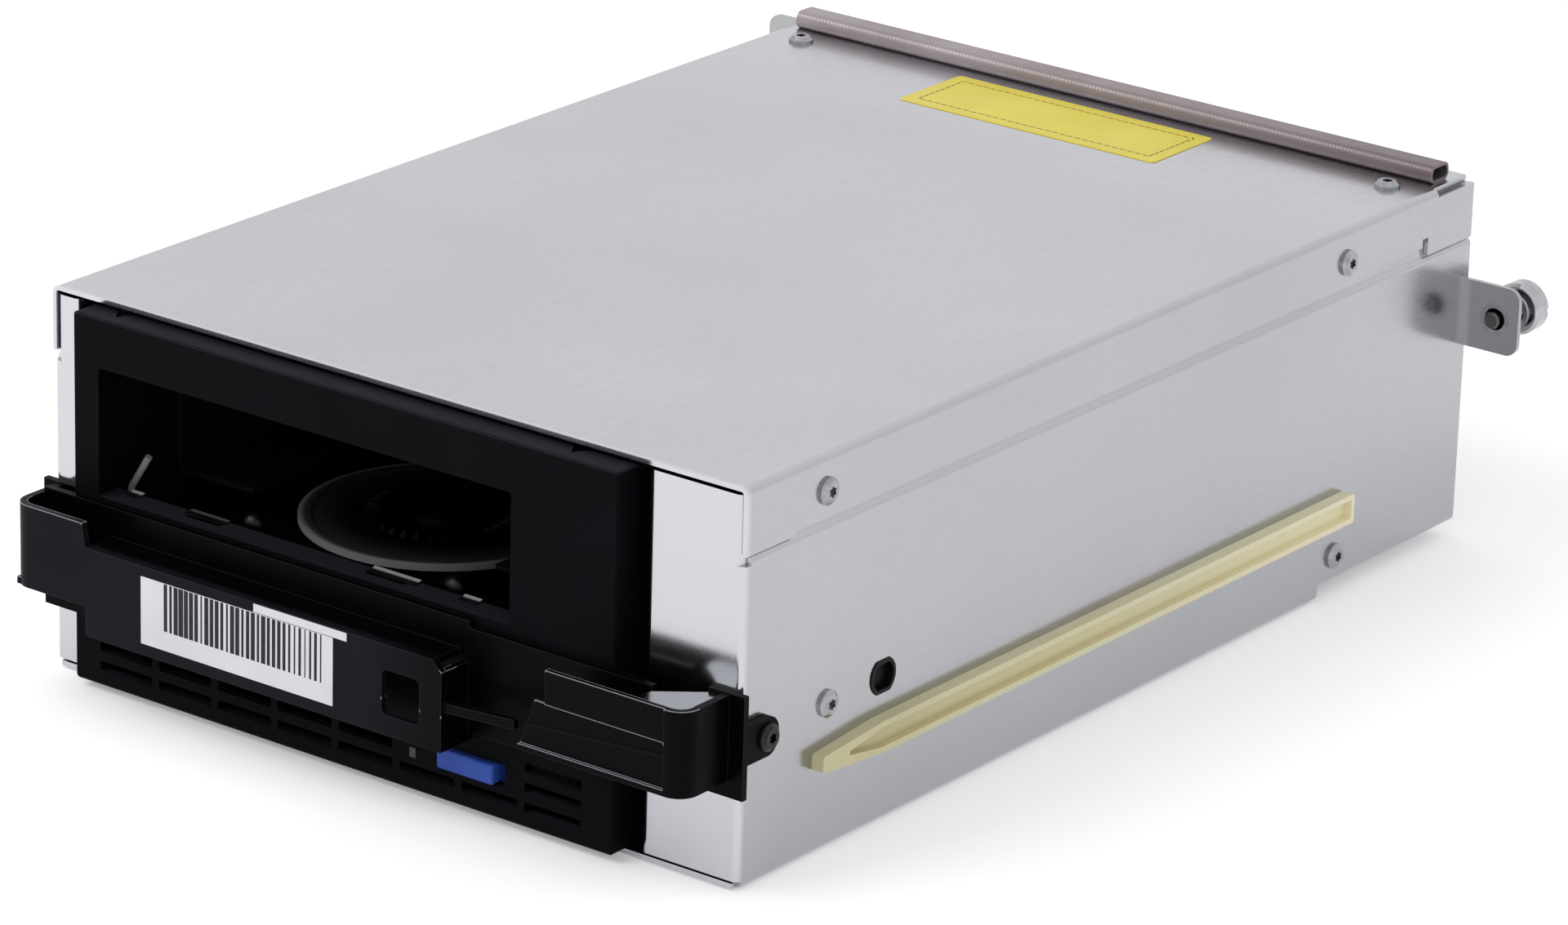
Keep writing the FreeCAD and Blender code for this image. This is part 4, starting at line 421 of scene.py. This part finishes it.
# ---- Cloth and labels ----
def weave(tree, place):
    """The crossed threads of a plain weave, about 1 mm apart so that they show."""
    over, under = [add(tree, "ShaderNodeTexWave", {"wave_type": "BANDS", "bands_direction": way},
                       Vector=place, Scale=0.32 / MM).outputs["Fac"] for way in ("X", "Y")]
    return calculated(tree, "MULTIPLY", over, under)


def gasket_colour(tree, place):
    """Taupe threads, paler towards the left end as a painted sheen, and soiled in soft patches."""
    # Painted sheen: the cloth grows paler towards the left end.
    worn = between(tree, split(tree, place)["X"], 0.0, 1.0, -sled_half, sled_half)
    hollows = blended(tree, worn, "a89ca0", "6d6263")
    crowns = blended(tree, worn, "bbb0b3", "827577")
    threads = blended(tree, weave(tree, place), hollows, crowns)
    soiled = between(tree, speckle(tree, place, 0.03), 0.0, 0.6, 0.4, 0.7)
    return blended(tree, soiled, threads, "7a6e6d")


def weave_bump(tree, place):
    """The threads stand up from the cloth."""
    return raised(tree, weave(tree, place), 0.05)


# Nickel-copper plated cloth over foam: taupe, with a faint metallic sheen on its threads.
gasket_cloth = surface("plated_cloth", gasket_colour, uneven(0.36, 0.48, 0.1), 0.55, weave_bump)
# Vinyl label, calendered: smooth and evenly yellow with a soft gloss.
yellow_vinyl = surface("yellow_vinyl", mottled("dccb3e", "e2d24a", 0.06), uneven(0.34, 0.44, 0.1),
                       0.0, fine_grain(1.5, 0.004), Specular_IOR_Level=0.3)
# Coated paper label: cool white with a faint fibre mottling.
white_paper = surface("coated_label_paper", mottled("d6d6da", "dedee2", 0.05),
                      uneven(0.42, 0.5, 0.1), 0.0, fine_grain(2.5, 0.004), Specular_IOR_Level=0.3)
# Thermal print: flat black bars with slightly starved ink.
print_black = surface("thermal_print", mottled("1b1a1f", "2a292f", 0.8), uneven(0.4, 0.5, 0.3), 0.0,
                      fine_grain(3.0, 0.002), Specular_IOR_Level=0.2)

finishes = {
    zinc_sheet: ["chassis_tray", "top_cover", "rear_panel", "corner_bracket"],
    bright_screw: ["cover_screws", "wall_screws", "drive_screws", "board_screws", "fan_screws",
                   "board_spacers", "screw_ferrule_right", "screw_ferrule_left"],
    black_screw: ["guide_screws"],
    knob_metal: ["thumbscrew_right", "thumbscrew_left", "screw_collar_right", "screw_collar_left"],
    spring_wire: ["screw_spring_right", "screw_spring_left", "button_spring"],
    stainless: ["drive_lid", "data_ports", "fan_guard"],
    bay_shade_steel: ["deck_plate", "cartridge_cradle"],
    ground_steel: ["head_rods", "cradle_rods", "roller_posts", "datum_pins"],
    cast_metal: ["drive_base"],
    motor_case: ["head_carriage", "reel_motor", "take_up_motor", "head_actuator"],
    reel_metal: ["reel_hub"],
    head_metal: ["tape_head"],
    bezel_abs: ["drive_bezel"],
    guide_pc: ["cartridge_guide"],
    nylon_black: ["take_up_reel", "fan_frame", "fan_rotor", "power_connector", "side_grommets"],
    rail_acetal: ["side_rail_right", "side_rail_left"],
    button_abs: ["eject_button"],
    lever_acetal: ["bay_lever"],
    clear_lens: ["led_lens"],
    ceramic: ["tape_roller_1", "tape_roller_2", "tape_roller_3", "tape_roller_4"],
    gasket_cloth: ["emi_gasket"],
    yellow_vinyl: ["notice_label"],
    white_paper: ["guide_label"],
    board_laminate: ["drive_board", "interface_board", "switch_board"],
}
for material, names in finishes.items():
    for name in names:
        mesh = nodes[name].data
        mesh.materials.clear()
        mesh.materials.append(material)


# ---- Printing on the labels ----
def node_tree(name, **inputs):
    """A geometry tree with those named inputs, the outputs of its first node and its last node."""
    tree = bpy.data.node_groups.new(name, "GeometryNodeTree")
    for label, kind in inputs.items():
        tree.interface.new_socket(label.replace("_", " "), in_out="INPUT",
                                  socket_type="NodeSocket" + kind)
    tree.interface.new_socket("Geometry", in_out="OUTPUT", socket_type="NodeSocketGeometry")
    return tree, add(tree, "NodeGroupInput").outputs, add(tree, "NodeGroupOutput")


def end_in_ink(tree, output, instances, offset):
    """Ends a tree: the instances made real, moved to their place and printed black."""
    real = add(tree, "GeometryNodeRealizeInstances", Geometry=instances).outputs[0]
    moved = add(tree, "GeometryNodeTransform", Geometry=real, Translation=offset).outputs[0]
    inked = add(tree, "GeometryNodeSetMaterial", Geometry=moved, Material=print_black).outputs[0]
    tree.links.new(inked, output.inputs[0])


def bar_rows():
    """Upright bars of random width, side by side along X."""
    tree, given, output = node_tree("label_bars", Bar_Count="Int", Pitch="Float", Narrow="Float",
                                    Wide="Float", Height="Float", Depth="Float", Place="Vector",
                                    Seed="Int")
    step = add(tree, "ShaderNodeCombineXYZ", X=given["Pitch"]).outputs[0]
    line = add(tree, "GeometryNodeMeshLine", Count=given["Bar Count"], Offset=step).outputs[0]
    width = add(tree, "FunctionNodeRandomValue", {"data_type": "FLOAT"}, i2=given["Narrow"],
                i3=given["Wide"], Seed=given["Seed"]).outputs[1]
    size = add(tree, "ShaderNodeCombineXYZ", X=width, Y=given["Depth"], Z=given["Height"])
    bar = add(tree, "GeometryNodeMeshCube", Size=(1, 1, 1)).outputs[0]
    bars = add(tree, "GeometryNodeInstanceOnPoints", Points=line, Instance=bar,
               Scale=size.outputs[0])
    end_in_ink(tree, output, bars.outputs[0], given["Place"])
    return tree


def dashed_frame():
    """Short dashes that follow a rectangle."""
    tree, given, output = node_tree("dashed_frame", Width="Float", Length="Float", Dash="Float",
                                    Gap="Float", Line="Float", Depth="Float", Place="Vector")
    outline = add(tree, "GeometryNodeCurvePrimitiveQuadrilateral", i0=given["Width"],
                  i1=given["Length"]).outputs[0]
    # Points close together keep each dash straight along its side, up to the corners.
    outline = add(tree, "GeometryNodeResampleCurve", {"mode": "LENGTH"}, Curve=outline,
                  Length=given["Line"]).outputs[0]
    pitch = calculated(tree, "ADD", given["Dash"], given["Gap"])
    spots = add(tree, "GeometryNodeCurveToPoints", {"mode": "LENGTH"}, Curve=outline, Length=pitch)
    turned = add(tree, "FunctionNodeAlignRotationToVector", {"axis": "X"},
                 Vector=spots.outputs["Tangent"]).outputs[0]
    size = add(tree, "ShaderNodeCombineXYZ", X=given["Dash"], Y=given["Line"], Z=given["Depth"])
    dash = add(tree, "GeometryNodeMeshCube", Size=(1, 1, 1)).outputs[0]
    dashes = add(tree, "GeometryNodeInstanceOnPoints", Points=spots.outputs["Points"],
                 Instance=dash, Rotation=turned, Scale=size.outputs[0])
    end_in_ink(tree, output, dashes.outputs[0], given["Place"])
    return tree


def printed(name, tree, **values):
    """A plain mesh made by a tree, riding on the sled."""
    piece = placed(name, bpy.data.meshes.new(name))
    maker = piece.modifiers.new(name, "NODES")
    maker.node_group = tree
    for socket in tree.interface.items_tree:
        if socket.in_out == "INPUT":
            maker[socket.identifier] = values[socket.name.replace(" ", "_")]
    whole = piece.evaluated_get(bpy.context.evaluated_depsgraph_get())
    plain = bpy.data.meshes.new_from_object(whole)
    piece.modifiers.remove(maker)
    piece.data = plain
    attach(piece, "sled")


ink_depth = 0.03 * MM
paper_low, paper_high = corners_of("guide_label")
bar_height = 10.7 * MM
bar_margin_left, bar_margin_top = 7.0 * MM, 0.1 * MM
bars_middle = paper_high.z - bar_margin_top - bar_height / 2
printed("guide_label_bars", bar_rows(), Bar_Count=31, Pitch=1.436 * MM, Narrow=0.28 * MM,
        Wide=1.4 * MM, Height=bar_height, Depth=ink_depth,
        Place=(paper_low.x + bar_margin_left, paper_low.y, bars_middle), Seed=11)
vinyl_low, vinyl_high = corners_of("notice_label")
vinyl_size, vinyl_middle = vinyl_high - vinyl_low, (vinyl_low + vinyl_high) / 2
border_inset = 3.4 * MM
printed("notice_label_border", dashed_frame(), Width=vinyl_size.x - 2 * border_inset,
        Length=vinyl_size.y - 2 * border_inset, Dash=1.6 * MM, Gap=0.5 * MM, Line=0.3 * MM,
        Depth=ink_depth, Place=(vinyl_middle.x, vinyl_middle.y, vinyl_high.z))


# ---- Small pieces that only show in the throat and on the guide ----
def strip(name, profile, start, end, thickness, material):
    """A bent strip: a line in the YZ plane, a width along X and a thickness, in millimetres."""
    mesh = bpy.data.meshes.new(name)
    work = bmesh.new()
    left, right = [[work.verts.new((x * MM, y * MM, z * MM)) for y, z in profile]
                   for x in (start, end)]
    for index in range(len(profile) - 1):
        work.faces.new((left[index], left[index + 1], right[index + 1], right[index]))
    bmesh.ops.recalc_face_normals(work, faces=work.faces)
    bmesh.ops.solidify(work, geom=work.faces[:], thickness=thickness * MM)
    bmesh.ops.recalc_face_normals(work, faces=work.faces)
    work.to_mesh(mesh)
    work.free()
    mesh.materials.append(material)
    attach(placed(name, mesh), "sled")


# Leaf springs clipped over the throat's sill, which steady the cartridge. The wide one near the
# left end is pressed flat; the others keep their crest.
crested = ((-136.4, 45.05), (-135.0, 45.05), (-134.5, 45.25), (-134.0, 45.45), (-133.6, 45.30),
           (-133.5, 44.4))
pressed_height = 45.12
pressed_flat = tuple((y, min(z, pressed_height)) for y, z in crested)
leaf_thickness = 0.22
leaves = ((crested, -71.6, -68.4), (pressed_flat, -55.0, -44.2), (crested, -4.0, 8.6),
          (crested, 20.4, 25.0))
for number, (profile, start, end) in enumerate(leaves, 1):
    strip(f"sill_spring_{number}", profile, start, end, leaf_thickness, sill_steel)
# Second paper strip above the bar label, up to the edge of the guide's panel.
paper_line = ((-151.02, 35.35), (-151.02, 37.2))
paper_thickness = 0.1
strip("guide_label_strip", paper_line, -22.5, 3.0, paper_thickness, white_paper)


# ---- Springs that the joints name as deforming ----
def sprung(node):
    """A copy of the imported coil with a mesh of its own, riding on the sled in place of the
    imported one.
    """
    piece = placed(node + "_coil", nodes[node].data.copy())
    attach(piece, "sled")
    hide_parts(node)
    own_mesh(piece)


for joint in frame["record"]["behaviour"]["joints"]:
    for spring in joint.get("deforming_nodes", ()):
        sprung(spring["node"])


# ---- Floor, light and camera ----
def direct_view(tree):
    """1 where the camera, a mirror or a pane looks straight at the surface."""
    ray = add(tree, "ShaderNodeLightPath").outputs
    mirrored = calculated(tree, "MAXIMUM", ray["Is Glossy Ray"], ray["Is Transmission Ray"])
    return calculated(tree, "MAXIMUM", ray["Is Camera Ray"], mirrored)


def floor_paint(name, colour, lift):
    """A matt floor that takes shadows, lifted towards white where it is looked at straight."""
    material = empty_material(name)
    tree = material.node_tree
    paint = add(tree, "ShaderNodeBsdfDiffuse", Color=linear(colour)).outputs[0]
    strength = calculated(tree, "MULTIPLY", direct_view(tree), lift)
    glow = add(tree, "ShaderNodeEmission", Color=linear(colour), Strength=strength).outputs[0]
    both = add(tree, "ShaderNodeAddShader", i0=paint, i1=glow).outputs[0]
    add(tree, "ShaderNodeOutputMaterial", Surface=both)
    return material


def white_room(name, lighting, seen):
    """A white world, dimmer where it only lights the object than where it is looked at."""
    world = bpy.data.worlds.new(name)
    world.use_nodes = True
    tree = world.node_tree
    tree.nodes.clear()
    strength = between(tree, direct_view(tree), lighting, seen)
    backdrop = add(tree, "ShaderNodeBackground", Color=(1, 1, 1, 1), Strength=strength).outputs[0]
    add(tree, "ShaderNodeOutputWorld", Surface=backdrop)
    return world


def soft_lamp(name, place, target, size, power):
    """A large soft lamp that faces a point."""
    lamp = bpy.data.lights.new(name, "AREA")
    lamp.shape = "RECTANGLE"
    lamp.size, lamp.size_y = size
    lamp.energy = power
    holder = placed(name, lamp)
    holder.location = place
    holder.rotation_euler = (Vector(target) - Vector(place)).to_track_quat("-Z", "Y").to_euler()


floor_reach, floor_drop = 6.0, 0.5 * MM
floor_mesh = bpy.data.meshes.new("floor")
floor_mesh.from_pydata([(x * floor_reach, y * floor_reach, -floor_drop)
                        for x, y in ((-1, -1), (1, -1), (1, 1), (-1, 1))], [], [(0, 1, 2, 3)])
floor_mesh.materials.append(floor_paint("pale_floor", "ffffff", lift=0.25))
floor = placed("floor", floor_mesh)
bpy.context.scene.world = white_room("studio", lighting=0.75, seen=1.0)
soft_lamp("key", place=(-0.6, -1.0, 1.3), target=(0, 0, 0.04), size=(0.9, 0.9), power=9.0)

camera = bpy.data.cameras.new("camera")
camera.lens = 161.36
camera.sensor_width = 36.0
camera.clip_start = 0.05
stand = placed("camera", camera)
stand.location = (0.878918, -1.174134, 0.575882)
stand.rotation_euler = [math.radians(turn) for turn in (69.645308, -1.556160, 37.356231)]
bpy.context.scene.camera = stand

bpy.context.scene.view_settings.view_transform = "Standard"
